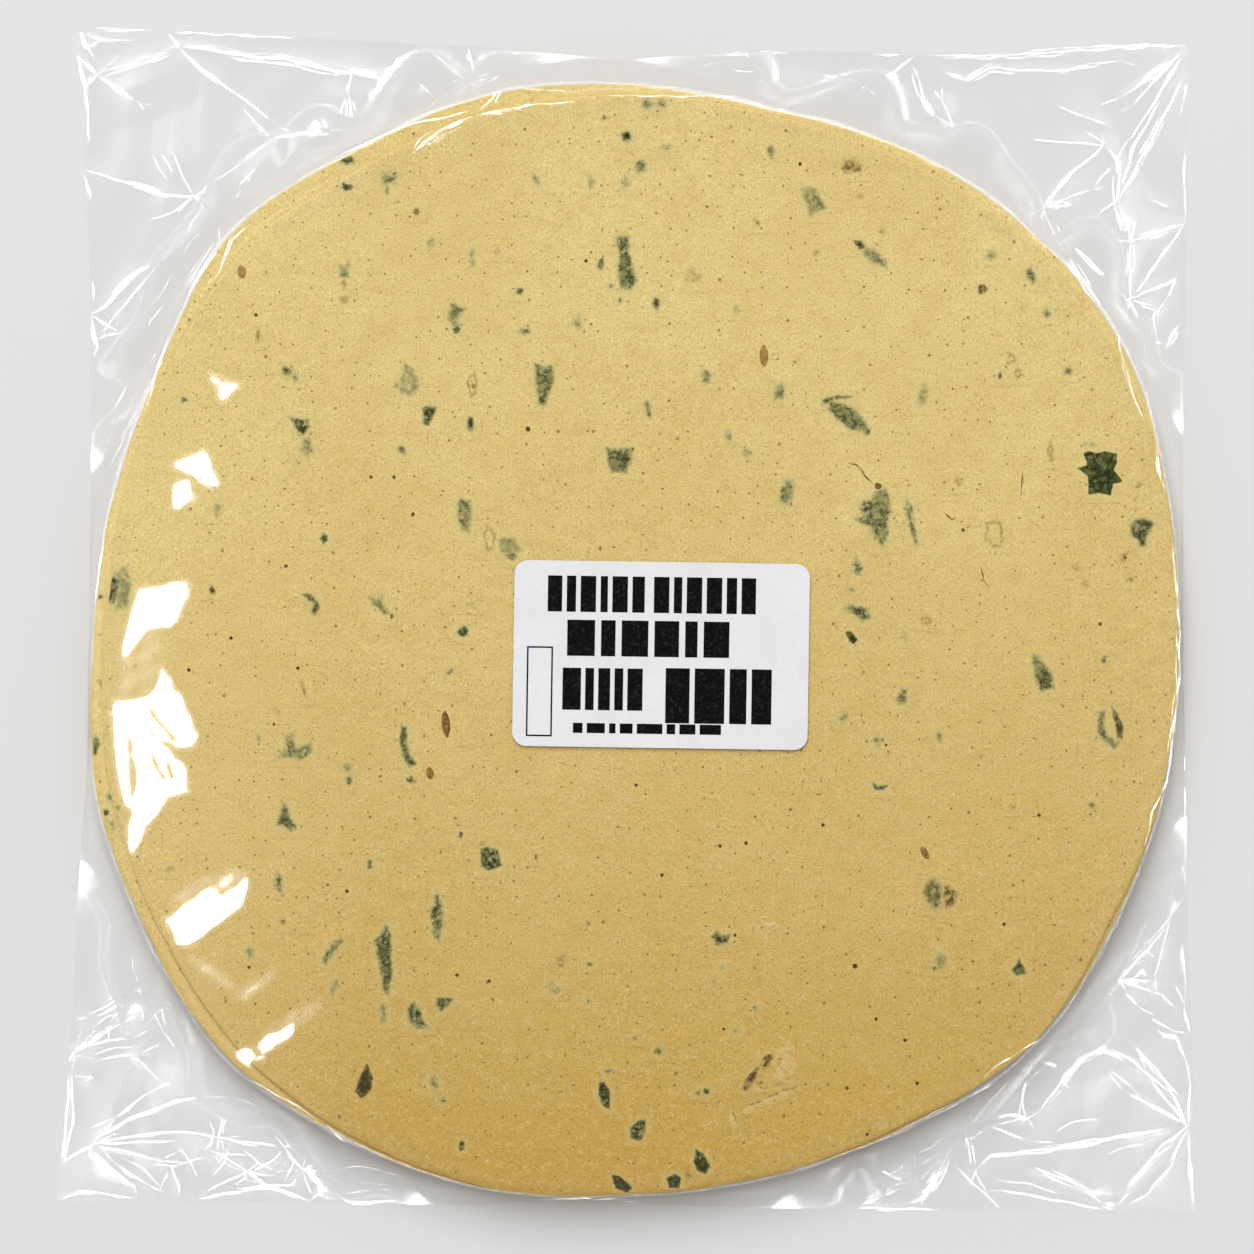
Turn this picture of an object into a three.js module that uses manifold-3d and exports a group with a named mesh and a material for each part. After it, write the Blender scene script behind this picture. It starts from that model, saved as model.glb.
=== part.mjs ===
// A stack of thin round papadums sealed in a clear bag, with a paper label on top.
// Millimetres, +Z up. The origin lies under the middle of the bag, on the surface it
// rests on; +X runs to the right and +Y away, seen from above with the label upright.

import * as THREE from "three";
import { mergeVertices } from "three/addons/utils/BufferGeometryUtils.js";
import Module from "manifold-3d";

// The papadums: a dozen rounds of rolled dough, a little wavy, so air lies between them.
const PAPAD_COUNT = 12;
const PAPAD_PITCH = 0.75;
const STACK_CENTRE = [1.25, -3.7];

// Reach of the stack's rim from its centre, every 15 degrees from +X towards +Y.
const STACK_REACH = [
  94.0, 95.4, 98.4, 98.3, 97.0, 94.8, 95.9, 97.5, 97.3, 98.7, 94.6, 93.2,
  93.3, 96.3, 97.8, 100.4, 99.2, 97.8, 95.6, 95.3, 96.2, 97.9, 96.0, 94.8,
];

// Reach of the uppermost papadum, which has slid a few millimetres on the others.
const TOP_REACH = [
  93.6, 95.1, 96.1, 96.6, 95.1, 93.5, 94.2, 94.6, 94.0, 95.2, 92.9, 91.3,
  91.4, 93.6, 95.4, 97.8, 98.1, 97.4, 95.2, 94.8, 95.6, 97.5, 95.2, 94.5,
];

// The flattened bag, side by side from its far left corner; the corners are shared.
const BAG_SIDES = [
  [[-94.4, 102.3], [-56.2, 100.5], [-12.2, 97.7], [-0.3, 96.6], [26, 98.3], [62.3, 97.8], [96.9, 99.4]],
  [[96.9, 99.4], [96.6, 55], [96, 10.2], [95.8, -5.2], [96.8, -38], [97.6, -71.3], [98.5, -102.3]],
  [[98.5, -102.3], [39.8, -102.1], [4.9, -100.9], [-3.6, -99.9], [-24.9, -101.1], [-98.5, -100.5]],
  [[-98.5, -100.5], [-95.7, -66.9], [-93, -26], [-92.6, 12], [-92.6, 55], [-95.2, 97.7], [-94.4, 102.3]],
];

// The film: it lies on the stack, rolls over its rim and falls to the seam. Where the
// seam is close to the stack it is pulled up to half height, elsewhere it lies low.
const BAG_TOP = PAPAD_COUNT * PAPAD_PITCH;
const EDGE_INSET = 1.4;
const EDGE_DROP = 0.04;
const RIM_STEP = 0.8;
const STEP_START = 0.25;
const STEP_END = 0.7;
const LEAST_STEP = 1;
const RIM_ROLL = 2.6;
const ROLL_REACH = 0.35;
const LEAST_MARGIN = 0.8;
const SEAM_TIGHT = 4.4;
const SEAM_LOOSE = 0.75;
const TIGHT_MARGIN = 5;
const DRAPE_LENGTH = 4.2;
const LIP_HALF = 0.3;
const WAVE_HEIGHT = 0.16;
const FLAT_RADIUS = 42;
const WAVY_RADIUS = 64;

// Creases of the crumpled margins: the ridge lines that stand up, with their heights.
const RIDGE_HALF_WIDTH = 4.6;
const RIDGE_AT_SEAM = 0.25;
const RIDGES = [
  { height: 2.4, line: [[-91.5, 94.6], [-77.4, 98.7], [-58, 97.2], [-41.6, 93.4]] },
  { height: 2.0, line: [[-77.4, 98.7], [-61.8, 83.4], [-51.1, 84.1]] },
  { height: 2.2, line: [[-93.2, 77.7], [-80.3, 73.1], [-74.7, 73.1], [-61.8, 83.4]] },
  { height: 1.8, line: [[-91.9, 53.3], [-80.7, 62.7], [-70.9, 69.6]] },
  { height: 1.4, line: [[-92, 45], [-82.1, 48.1], [-89.8, 25.7]] },
  { height: 2.0, line: [[-35.6, 98.9], [-27.8, 92.9], [-19.2, 98]] },
  { height: 1.6, line: [[4.5, 95.8], [20.4, 97.6], [23, 94.6]] },
  { height: 2.0, line: [[53, 95.4], [62.5, 95.8], [72.8, 94.6], [84.9, 96.6]] },
  { height: 2.6, line: [[96.4, 98.9], [84.6, 71.3], [86.6, 65.3], [87, 55], [72.9, 68.8]] },
  { height: 2.0, line: [[72, 71.3], [82.7, 81.7], [84.6, 71.3]] },
  { height: 2.4, line: [[86.6, 65.3], [96.2, 68.4], [87, 55]] },
  { height: 2.2, line: [[96.4, 98.9], [85.8, 89.4]] },
  { height: 2.0, line: [[93.5, -52.6], [85.4, -62.4], [78, -71.5]] },
  { height: 2.6, line: [[97.8, -87], [82.3, -74.1], [69.9, -86.1]] },
  { height: 2.2, line: [[97.8, -87], [82.2, -90.6], [66, -91.7], [58.7, -87.5]] },
  { height: 2.2, line: [[97.8, -87], [83.2, -101.6], [66.8, -99.1]] },
  { height: 1.6, line: [[39.6, -101.2], [47.9, -97], [54.8, -91.7]] },
  { height: 2.6, line: [[-98.1, -94.2], [-92, -90.5], [-82.9, -83.6], [-67.4, -82.4]] },
  { height: 2.4, line: [[-92, -90.5], [-84.6, -99.1]] },
  { height: 2.2, line: [[-80.3, -93.9], [-70.9, -89.6], [-59.2, -91.1], [-55, -96.1], [-46.8, -94.2]] },
  { height: 1.6, line: [[-96.2, -75], [-87.6, -69.3], [-83.8, -64.6]] },
];

// Shallow waves of the uppermost papadum, flat round the label.
const WAVES = [
  { along: [0.052, 0.021], phase: 0.6 },
  { along: [-0.019, 0.047], phase: 2.1 },
  { along: [0.033, -0.058], phase: 4.0 },
];

// The label: a small rounded slip of paper stuck on the middle of the bag, a little turned.
const LABEL_SIZE = [50.8, 32];
const LABEL_THICKNESS = 0.25;
const LABEL_CORNER = 2.4;
const LABEL_CENTRE = [5.9, -6.1];
const LABEL_TURN = THREE.MathUtils.degToRad(-0.85);

// The larger flecks of green chilli pressed into the top papadum, as low bumps:
// middle, length, width and turn in degrees from +X.
const FLECK_SIDES = 7;
const FLECK_PROUD = 0.3;
const FLECK_ROOT = 0.5;
const FLECK_TOP_SCALE = 0.72;
const FLECKS = [
  [81.8, 25.4, 6.0, 5.0, 80], [90.0, 15.1, 4.6, 3.4, 70], [83.4, -17.6, 6.2, 4.0, 65],
  [44.0, 18.5, 7.4, 3.6, 110], [38.1, 35.7, 7.2, 3.4, 60], [38.9, -12.6, 4.2, 2.6, 90],
  [71.6, -9.0, 5.4, 2.2, 95], [39.0, 3.9, 4.2, 2.4, 80], [41.2, 63.6, 6.4, 4.0, 125],
  [72.4, 53.2, 5.6, 2.6, 100], [38.8, 78.2, 4.6, 4.2, 0], [31.9, 72.7, 4.0, 3.0, 60],
  [-0.3, 61.5, 7.6, 1.9, 92], [-14.4, 40.4, 4.2, 2.1, 75], [-1.2, 27.8, 4.2, 3.6, 30],
  [-23.7, -40.9, 3.6, 3.2, 0], [-3.7, -81.8, 4.8, 1.9, 100], [1.9, -87.9, 4.6, 2.6, 70],
  [8.1, -96.5, 3.0, 2.4, 60], [-31.3, -66.0, 4.2, 2.4, 110], [-42.0, -58.6, 8.6, 2.2, 80],
  [-33.0, -50.9, 7.4, 1.9, 88], [-38.2, -22.8, 7.6, 1.9, 84], [2.3, 78.2, 5.8, 4.6, 50],
  [-56.2, 32.3, 6.4, 3.4, 70], [-57.6, -21.1, 5.0, 4.2, 20], [-88.2, 5.9, 4.8, 4.4, 0],
  [-30.1, 52.4, 4.2, 2.2, 70], [-40.7, 75.7, 5.6, 3.6, 50], [-48.3, 59.8, 4.6, 3.4, 60],
  [-45.0, -79.6, 5.0, 2.6, 65], [53.6, -46.6, 4.6, 3.8, 20], [55.0, 0.6, 3.6, 2.0, 40],
  [69.8, 59.4, 3.2, 2.6, 0], [54.0, -59.0, 3.8, 3.0, 30], [-28.5, -90.4, 2.8, 1.6, 90],
];

// Fineness of the bag's surface.
const COLUMNS_PER_SIDE = 36;
const PLATEAU_RINGS = [0.38, 0.54, 0.7, 0.86];
const MARGIN_RINGS = 8;
const UNDER_RINGS = [0.62, 0.3];
const UNDER_INNER = [0.6, 0.25];
const UNDER_INSET = 1.6;
const MERGE_TOLERANCE = 1e-4;

const wasm = await Module();
wasm.setup();

// Smooth closed interpolation of reaches given at even angles.
function reachAt(reaches, angle) {
  const count = reaches.length;
  const turn = THREE.MathUtils.euclideanModulo(angle / (2 * Math.PI), 1) * count;
  const first = Math.floor(turn);
  const t = turn - first;
  const [a, b, c, d] = [-1, 0, 1, 2].map((step) => reaches[(first + step + count) % count]);
  const slope = (c - a) / 2;
  const nextSlope = (d - b) / 2;
  const cubic = 2 * (b - c) + slope + nextSlope;
  const square = 3 * (c - b) - 2 * slope - nextSlope;
  return ((cubic * t + square) * t + slope) * t + b;
}

function distanceToSegment(x, y, [ax, ay], [bx, by]) {
  const [dx, dy] = [bx - ax, by - ay];
  const t = THREE.MathUtils.clamp(((x - ax) * dx + (y - ay) * dy) / (dx * dx + dy * dy), 0, 1);
  return Math.hypot(x - ax - t * dx, y - ay - t * dy);
}

function distanceToLine(x, y, line) {
  const pieces = line.slice(1).map((end, i) => distanceToSegment(x, y, line[i], end));
  return Math.min(...pieces);
}

// Height that the creases add to the film at a point of the margin.
function ridgeHeight(x, y) {
  const heights = RIDGES.map(({ height, line }) => {
    const near = 1 - distanceToLine(x, y, line) / RIDGE_HALF_WIDTH;
    return height * Math.max(near, 0);
  });
  return Math.max(...heights);
}

// Height of the uppermost papadum: shallow waves, level under the label and its border.
function plateauHeight(x, y) {
  const fromLabel = Math.hypot(x - LABEL_CENTRE[0], y - LABEL_CENTRE[1]);
  const free = THREE.MathUtils.smoothstep(fromLabel, FLAT_RADIUS, WAVY_RADIUS);
  const waves = WAVES.map(({ along, phase }) => Math.sin(along[0] * x + along[1] * y + phase));
  const sum = waves.reduce((total, wave) => total + wave, 0);
  return BAG_TOP + WAVE_HEIGHT * free * sum / WAVES.length;
}

// The bag's outline seen from above, evenly spaced along each side.
function bagOutline() {
  return BAG_SIDES.flatMap((side) => {
    const curve = new THREE.SplineCurve(side.map(([x, y]) => new THREE.Vector2(x, y)));
    return curve.getSpacedPoints(COLUMNS_PER_SIDE).slice(0, -1);
  });
}

// One column of the bag from the stack's centre over the top to the seam and back below.
function column(edge) {
  const [cx, cy] = STACK_CENTRE;
  const reach = Math.hypot(edge.x - cx, edge.y - cy);
  const [ux, uy] = [(edge.x - cx) / reach, (edge.y - cy) / reach];
  const angle = Math.atan2(uy, ux);
  const topReach = reachAt(TOP_REACH, angle);
  const outer = Math.max(reachAt(STACK_REACH, angle), topReach + LEAST_STEP);
  const rim = Math.min(outer, reach - LEAST_MARGIN);
  const margin = reach - rim - ROLL_REACH;
  const at = (r, z) => [cx + ux * r, cy + uy * r, z];
  const surface = (r, drop) => at(r, plateauHeight(cx + ux * r, cy + uy * r) - drop);

  const points = PLATEAU_RINGS.map((part) => surface(part * topReach, 0));
  points.push(surface(topReach - EDGE_INSET, EDGE_DROP));
  points.push(surface(THREE.MathUtils.lerp(topReach, rim, STEP_START), RIM_STEP));
  points.push(surface(THREE.MathUtils.lerp(topReach, rim, STEP_END), RIM_STEP));
  points.push(surface(rim + ROLL_REACH, RIM_ROLL));

  const seam = SEAM_LOOSE + (SEAM_TIGHT - SEAM_LOOSE) * Math.exp(-((margin / TIGHT_MARGIN) ** 2));
  const rollEnd = BAG_TOP - RIM_ROLL;
  for (let i = 1; i <= MARGIN_RINGS; i += 1) {
    const s = i / MARGIN_RINGS;
    const r = rim + ROLL_REACH + margin * s;
    const fall = (Math.exp(-s * margin / DRAPE_LENGTH) - Math.exp(-margin / DRAPE_LENGTH))
      / (1 - Math.exp(-margin / DRAPE_LENGTH));
    const [x, y] = at(r, 0);
    const edgeFade = i === MARGIN_RINGS ? RIDGE_AT_SEAM : 1;
    const ridge = ridgeHeight(x, y) * (1 - fall) * edgeFade;
    points.push([x, y, seam + LIP_HALF + (rollEnd - seam - LIP_HALF) * fall + ridge]);
  }

  points.push(at(reach, Math.max(seam - LIP_HALF, 0)));
  const under = rim - UNDER_INSET;
  for (const part of UNDER_RINGS) {
    const rise = Math.max(seam - LIP_HALF, 0) * part ** 2;
    points.push(at(THREE.MathUtils.lerp(under, reach, part), rise));
  }
  points.push(at(under, 0));
  for (const part of UNDER_INNER) {
    points.push(at(part * under, 0));
  }
  return points;
}

// Closes the columns into one skin with a pole at the top and one at the bottom.
function bagGeometry() {
  const columns = bagOutline().map(column);
  const [count, rings] = [columns.length, columns[0].length];
  const positions = columns.flat(2);
  const top = count * rings;
  const bottom = top + 1;
  const [cx, cy] = STACK_CENTRE;
  positions.push(cx, cy, plateauHeight(cx, cy), cx, cy, 0);

  const faces = [];
  for (let i = 0; i < count; i += 1) {
    const a = i * rings;
    const b = ((i + 1) % count) * rings;
    faces.push(top, b, a);
    for (let j = 0; j < rings - 1; j += 1) {
      faces.push(a + j, b + j, a + j + 1, b + j, b + j + 1, a + j + 1);
    }
    faces.push(bottom, a + rings - 1, b + rings - 1);
  }
  const geometry = new THREE.BufferGeometry();
  geometry.setAttribute("position", new THREE.Float32BufferAttribute(positions, 3));
  geometry.setIndex(faces);
  return geometry;
}

// A low bump with sloping sides, rooted in the papadum.
function fleckGeometry([x, y, length, width, degrees]) {
  const height = FLECK_PROUD + FLECK_ROOT;
  const bump = new THREE.CylinderGeometry(FLECK_TOP_SCALE / 2, 0.5, height, FLECK_SIDES);
  bump.rotateX(Math.PI / 2);
  bump.scale(length, width, 1);
  bump.rotateZ(THREE.MathUtils.degToRad(degrees));
  bump.translate(x, y, plateauHeight(x, y) - FLECK_ROOT + height / 2);
  return bump;
}

function toSolid(geometry) {
  geometry.deleteAttribute("normal");
  geometry.deleteAttribute("uv");
  const merged = mergeVertices(geometry, MERGE_TOLERANCE);
  const vertProperties = new Float32Array(merged.attributes.position.array);
  const triVerts = new Uint32Array(merged.index.array);
  return new wasm.Manifold(new wasm.Mesh({ numProp: 3, vertProperties, triVerts }));
}

function toGeometry(solid) {
  const { vertProperties, triVerts } = solid.getMesh();
  const geometry = new THREE.BufferGeometry();
  geometry.setAttribute("position", new THREE.BufferAttribute(vertProperties, 3));
  geometry.setIndex(new THREE.BufferAttribute(triVerts, 1));
  geometry.computeVertexNormals();
  return geometry;
}

function bagMesh() {
  const skin = toSolid(bagGeometry());
  const solid = FLECKS.reduce((body, fleck) => body.add(toSolid(fleckGeometry(fleck))), skin);
  const film = new THREE.MeshStandardMaterial({ color: 0xe2c882, roughness: 0.25, metalness: 0 });
  const mesh = new THREE.Mesh(toGeometry(solid), film);
  mesh.name = "bag";
  return mesh;
}

function labelMesh() {
  const [halfLength, halfWidth] = LABEL_SIZE.map((side) => side / 2);
  const corners = [[1, -1, -0.25], [1, 1, 0], [-1, 1, 0.25], [-1, -1, 0.5]];
  const outline = new THREE.Shape();
  for (const [sx, sy, quarter] of corners) {
    const start = quarter * 2 * Math.PI;
    const x = sx * (halfLength - LABEL_CORNER);
    const y = sy * (halfWidth - LABEL_CORNER);
    outline.absarc(x, y, LABEL_CORNER, start, start + Math.PI / 2, false);
  }
  const slip = new THREE.ExtrudeGeometry(outline, {
    depth: LABEL_THICKNESS,
    bevelEnabled: false,
    curveSegments: 6,
  });
  const paper = new THREE.MeshStandardMaterial({ color: 0xeceef4, roughness: 0.7, metalness: 0 });
  const mesh = new THREE.Mesh(slip, paper);
  mesh.name = "label";
  mesh.position.set(...LABEL_CENTRE, BAG_TOP);
  mesh.rotation.z = LABEL_TURN;
  return mesh;
}

const papadums = new THREE.Group();
papadums.add(bagMesh(), labelMesh());

export default papadums;
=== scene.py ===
"""Looks of a stack of green chilli papadums in a clear bag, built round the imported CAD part.

Sizes are in millimetres until a piece is finished, and metres from then on.
"""

import logging
import math
import random
from collections.abc import Callable, Sequence
from dataclasses import dataclass, field
from enum import Enum

import bmesh
import bpy
import numpy as np
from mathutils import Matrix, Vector


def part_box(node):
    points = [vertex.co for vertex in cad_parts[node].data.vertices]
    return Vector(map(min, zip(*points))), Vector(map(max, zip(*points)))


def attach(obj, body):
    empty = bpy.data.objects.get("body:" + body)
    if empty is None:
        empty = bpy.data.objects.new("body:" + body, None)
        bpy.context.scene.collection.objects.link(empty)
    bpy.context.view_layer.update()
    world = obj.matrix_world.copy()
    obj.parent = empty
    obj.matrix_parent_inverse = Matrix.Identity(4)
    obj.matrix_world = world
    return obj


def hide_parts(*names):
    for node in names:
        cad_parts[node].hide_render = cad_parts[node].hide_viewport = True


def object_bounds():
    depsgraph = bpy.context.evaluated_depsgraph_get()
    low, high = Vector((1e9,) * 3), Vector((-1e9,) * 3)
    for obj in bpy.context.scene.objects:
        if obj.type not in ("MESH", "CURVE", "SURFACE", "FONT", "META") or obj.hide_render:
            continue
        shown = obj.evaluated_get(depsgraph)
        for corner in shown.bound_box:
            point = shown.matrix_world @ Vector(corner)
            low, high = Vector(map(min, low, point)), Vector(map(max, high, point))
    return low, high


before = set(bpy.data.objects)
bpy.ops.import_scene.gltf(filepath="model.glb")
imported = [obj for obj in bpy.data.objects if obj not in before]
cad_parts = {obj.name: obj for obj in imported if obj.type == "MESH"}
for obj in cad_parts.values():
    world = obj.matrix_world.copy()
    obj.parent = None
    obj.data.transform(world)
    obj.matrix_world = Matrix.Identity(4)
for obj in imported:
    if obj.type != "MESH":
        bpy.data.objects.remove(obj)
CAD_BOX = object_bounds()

log = logging.getLogger("papadum_bag")

BODY = "root"
MM = 0.001

# Where the photograph's pixels lie on the object.
PIXELS_PER_MM = 5.81
PIXEL_X_OF_ZERO = 626.75
PIXEL_Y_OF_ZERO = 619.5

# The stack and the bag, as the CAD part has them.
STACK_CENTRE = (1.25, -3.7)
TOP_REACH = (
    93.6, 95.1, 96.1, 96.6, 95.1, 93.5, 94.2, 94.6, 94.0, 95.2, 92.9, 91.3,
    91.4, 93.6, 95.4, 97.8, 98.1, 97.4, 95.2, 94.8, 95.6, 97.5, 95.2, 94.5,
)
STACK_REACH = (
    94.0, 95.4, 98.4, 98.3, 97.0, 94.8, 95.9, 97.5, 97.3, 98.7, 94.6, 93.2,
    93.3, 96.3, 97.8, 100.4, 99.2, 97.8, 95.6, 95.3, 96.2, 97.9, 96.0, 94.8,
)

# The bag's edge, in pixels of the photograph, side by side.
EDGE_TOP = (
    74,30, 168,29, 300,35.5, 444,42, 556,52, 625,58, 745,48.5, 819,48.5, 911,52, 989,51.4, 1124,44, 1190.5,42,
)
EDGE_RIGHT = (
    1190,42, 1190.5,155, 1188,300, 1185,400, 1184.5,560, 1183.5,650, 1186.5,745, 1189,840, 1190,940, 1194,1034,
    1199,1130, 1199,1214,
)
EDGE_BOTTOM = (
    54.5,1203.5, 194,1203.5, 365,1206, 482,1207, 560,1201, 606,1200, 655,1206, 740,1209, 858,1212.7, 1000,1213.5,
    1115,1212.7, 1199,1214,
)
EDGE_LEFT = (
    74,30, 73.6,51.6, 79,115, 85,210, 89,300, 89,550, 88.5,640, 88,750, 82,820, 74,920, 71,1008, 64,1074, 57,1163,
    54.5,1203.5,
)

# Short names for the types used most.
Array = np.ndarray
Colour = tuple[float, ...]
Pair = tuple[float, float]
Mesh = bmesh.types.BMesh
Verts = list[bmesh.types.BMVert]
Socket = bpy.types.NodeSocket
Material = bpy.types.Material
Piece = bpy.types.Object


def to_mm(points: Sequence[float]) -> Array:
    """Turns pixels of the photograph into places on the object.

    Args:
        points: x and y of one place after another, x to the right and y down.

    Returns:
        The same places in millimetres, one row each.
    """
    pixels = np.asarray(points, float).reshape(-1, 2)
    east = (pixels[:, 0] - PIXEL_X_OF_ZERO) / PIXELS_PER_MM
    north = (PIXEL_Y_OF_ZERO - pixels[:, 1]) / PIXELS_PER_MM
    return np.stack([east, north], axis=1)


def smooth(value: Array) -> Array:
    """Returns a smooth step from 0 at 0 to 1 at 1."""
    part = np.clip(value, 0.0, 1.0)
    return part * part * (3.0 - 2.0 * part)


def kept_inside(x: Array, y: Array, margin: float = 0.04) -> tuple[Array, Array]:
    """Moves points that stick out back inside the part's box.

    Args:
        x: the points' x.
        y: the points' y.
        margin: how far inside they end at least.

    Returns:
        Their new x and y.
    """
    low, high = CAD_BOX
    return (
        np.clip(x, low.x / MM + margin, high.x / MM - margin),
        np.clip(y, low.y / MM + margin, high.y / MM - margin),
    )


def segment_distance(x: Array, y: Array, line: Array) -> Array:
    """Finds how far points are from a line of straight runs.

    Args:
        x: the points' x.
        y: the points' y.
        line: corners of the line, one row each.

    Returns:
        The distance of each point.
    """
    nearest = np.full(x.shape, np.inf)
    for start, end in zip(line[:-1], line[1:]):
        run = end - start
        share = ((x - start[0]) * run[0] + (y - start[1]) * run[1]) / max(float(run @ run), 1e-9)
        share = np.clip(share, 0.0, 1.0)
        gap = np.hypot(x - start[0] - share * run[0], y - start[1] - share * run[1])
        nearest = np.minimum(nearest, gap)
    return nearest


def inside_polygon(x: Array, y: Array, line: Array) -> Array:
    """Tells which points lie inside a closed outline.

    Args:
        x: the points' x.
        y: the points' y.
        line: the outline's corners, one row each.

    Returns:
        True for each point inside.
    """
    within = np.zeros(x.shape, bool)
    for start, end in zip(line, np.roll(line, -1, axis=0)):
        crosses = (start[1] > y) != (end[1] > y)
        rise = end[1] - start[1]
        reach = start[0] + (y - start[1]) * (end[0] - start[0]) / (rise if abs(rise) > 1e-9 else 1e-9)
        within ^= crosses & (x < reach)
    return within


def signed_depth(x: Array, y: Array, line: Array) -> Array:
    """Finds how deep points are inside a closed outline.

    Args:
        x: the points' x.
        y: the points' y.
        line: the outline's corners, one row each.

    Returns:
        The depth of each, below 0 outside.
    """
    closed = np.vstack([line, line[:1]])
    gap = segment_distance(x, y, closed)
    return np.where(inside_polygon(x, y, line), gap, -gap)


@dataclass(frozen=True)
class Waves:
    """A smooth random field made of a few sine waves."""

    seed: int
    length: float
    count: int = 6

    def at(self, x: Array, y: Array) -> Array:
        """Gives the field's value.

        Args:
            x: the points' x.
            y: the points' y.

        Returns:
            Values from about -1 to 1.
        """
        draw = random.Random(self.seed)
        total = np.zeros(np.shape(x))
        for _ in range(self.count):
            heading = draw.uniform(0.0, math.tau)
            length = self.length * draw.uniform(0.7, 1.6)
            phase = draw.uniform(0.0, math.tau)
            along = x * math.cos(heading) + y * math.sin(heading)
            total = total + np.sin(along * math.tau / length + phase)
        return total / math.sqrt(self.count)


@dataclass(frozen=True)
class Reach:
    """A closed outline, as distances from the stack's centre at even angles."""

    values: tuple[float, ...]

    def at(self, angle: Array) -> Array:
        """Reads the outline, rounded between its values.

        Args:
            angle: angles round the stack's centre.

        Returns:
            Distances from the centre.
        """
        ring = np.asarray(self.values)
        count = len(ring)
        place = (angle / math.tau * count) % count
        low = np.floor(place).astype(int)
        part = place - low
        a, b, c, d = (ring[(low + shift) % count] for shift in (-1, 0, 1, 2))
        slope, next_slope = (c - a) / 2.0, (d - b) / 2.0
        cubic = 2.0 * (b - c) + slope + next_slope
        square = 3.0 * (c - b) - 2.0 * slope - next_slope
        return ((cubic * part + square) * part + slope) * part + b


@dataclass(frozen=True)
class StackShape:
    """Heights and outlines that the papadums, the flecks and the film share."""

    count: int = 12
    thickness: float = 0.62
    pitch: float = 0.7
    foot: float = 0.25
    wave_height: float = 0.1
    top_reach: Reach = Reach(TOP_REACH)
    stack_reach: Reach = Reach(STACK_REACH)

    def polar(self, x: Array, y: Array) -> tuple[Array, Array]:
        """Returns each point's distance and angle from the stack's centre."""
        east, north = x - STACK_CENTRE[0], y - STACK_CENTRE[1]
        return np.hypot(east, north), np.arctan2(north, east)

    def round_reach(self, level: int, angle: Array) -> Array:
        """Gives one papadum's outline, which is a little different at each level.

        Args:
            level: its place in the stack, from 0 at the foot.
            angle: angles round the stack's centre.

        Returns:
            Distances from the centre.
        """
        top = self.top_reach.at(angle)
        spread = self.stack_reach.at(angle) - top
        below = self.count - 1 - level
        draw = random.Random(70 + level)
        ripple = sum(
            draw.uniform(0.04, 0.12) * np.sin(turns * angle + draw.uniform(0.0, math.tau))
            for turns in (5, 9, 14, 23, 37)
        )
        if below == 0:
            return top - 0.25 + 0.6 * ripple
        share = 0.5 + 0.5 * np.sin(draw.choice((2, 3)) * angle + draw.uniform(0.0, math.tau))
        if below == 1:
            share = 1.0
        return top + spread * share - 0.4 + 0.6 * ripple

    def warp(self, x: Array, y: Array) -> Array:
        """Returns the soft waves that every papadum in the stack follows."""
        radius, _ = self.polar(x, y)
        return self.wave_height * smooth((radius - 30.0) / 40.0) * Waves(11, 44.0).at(x, y)

    def top(self, x: Array, y: Array) -> Array:
        """Returns the height of the uppermost papadum's upper side."""
        flat = self.foot + self.thickness + (self.count - 1) * self.pitch
        return flat + self.warp(x, y)


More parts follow.
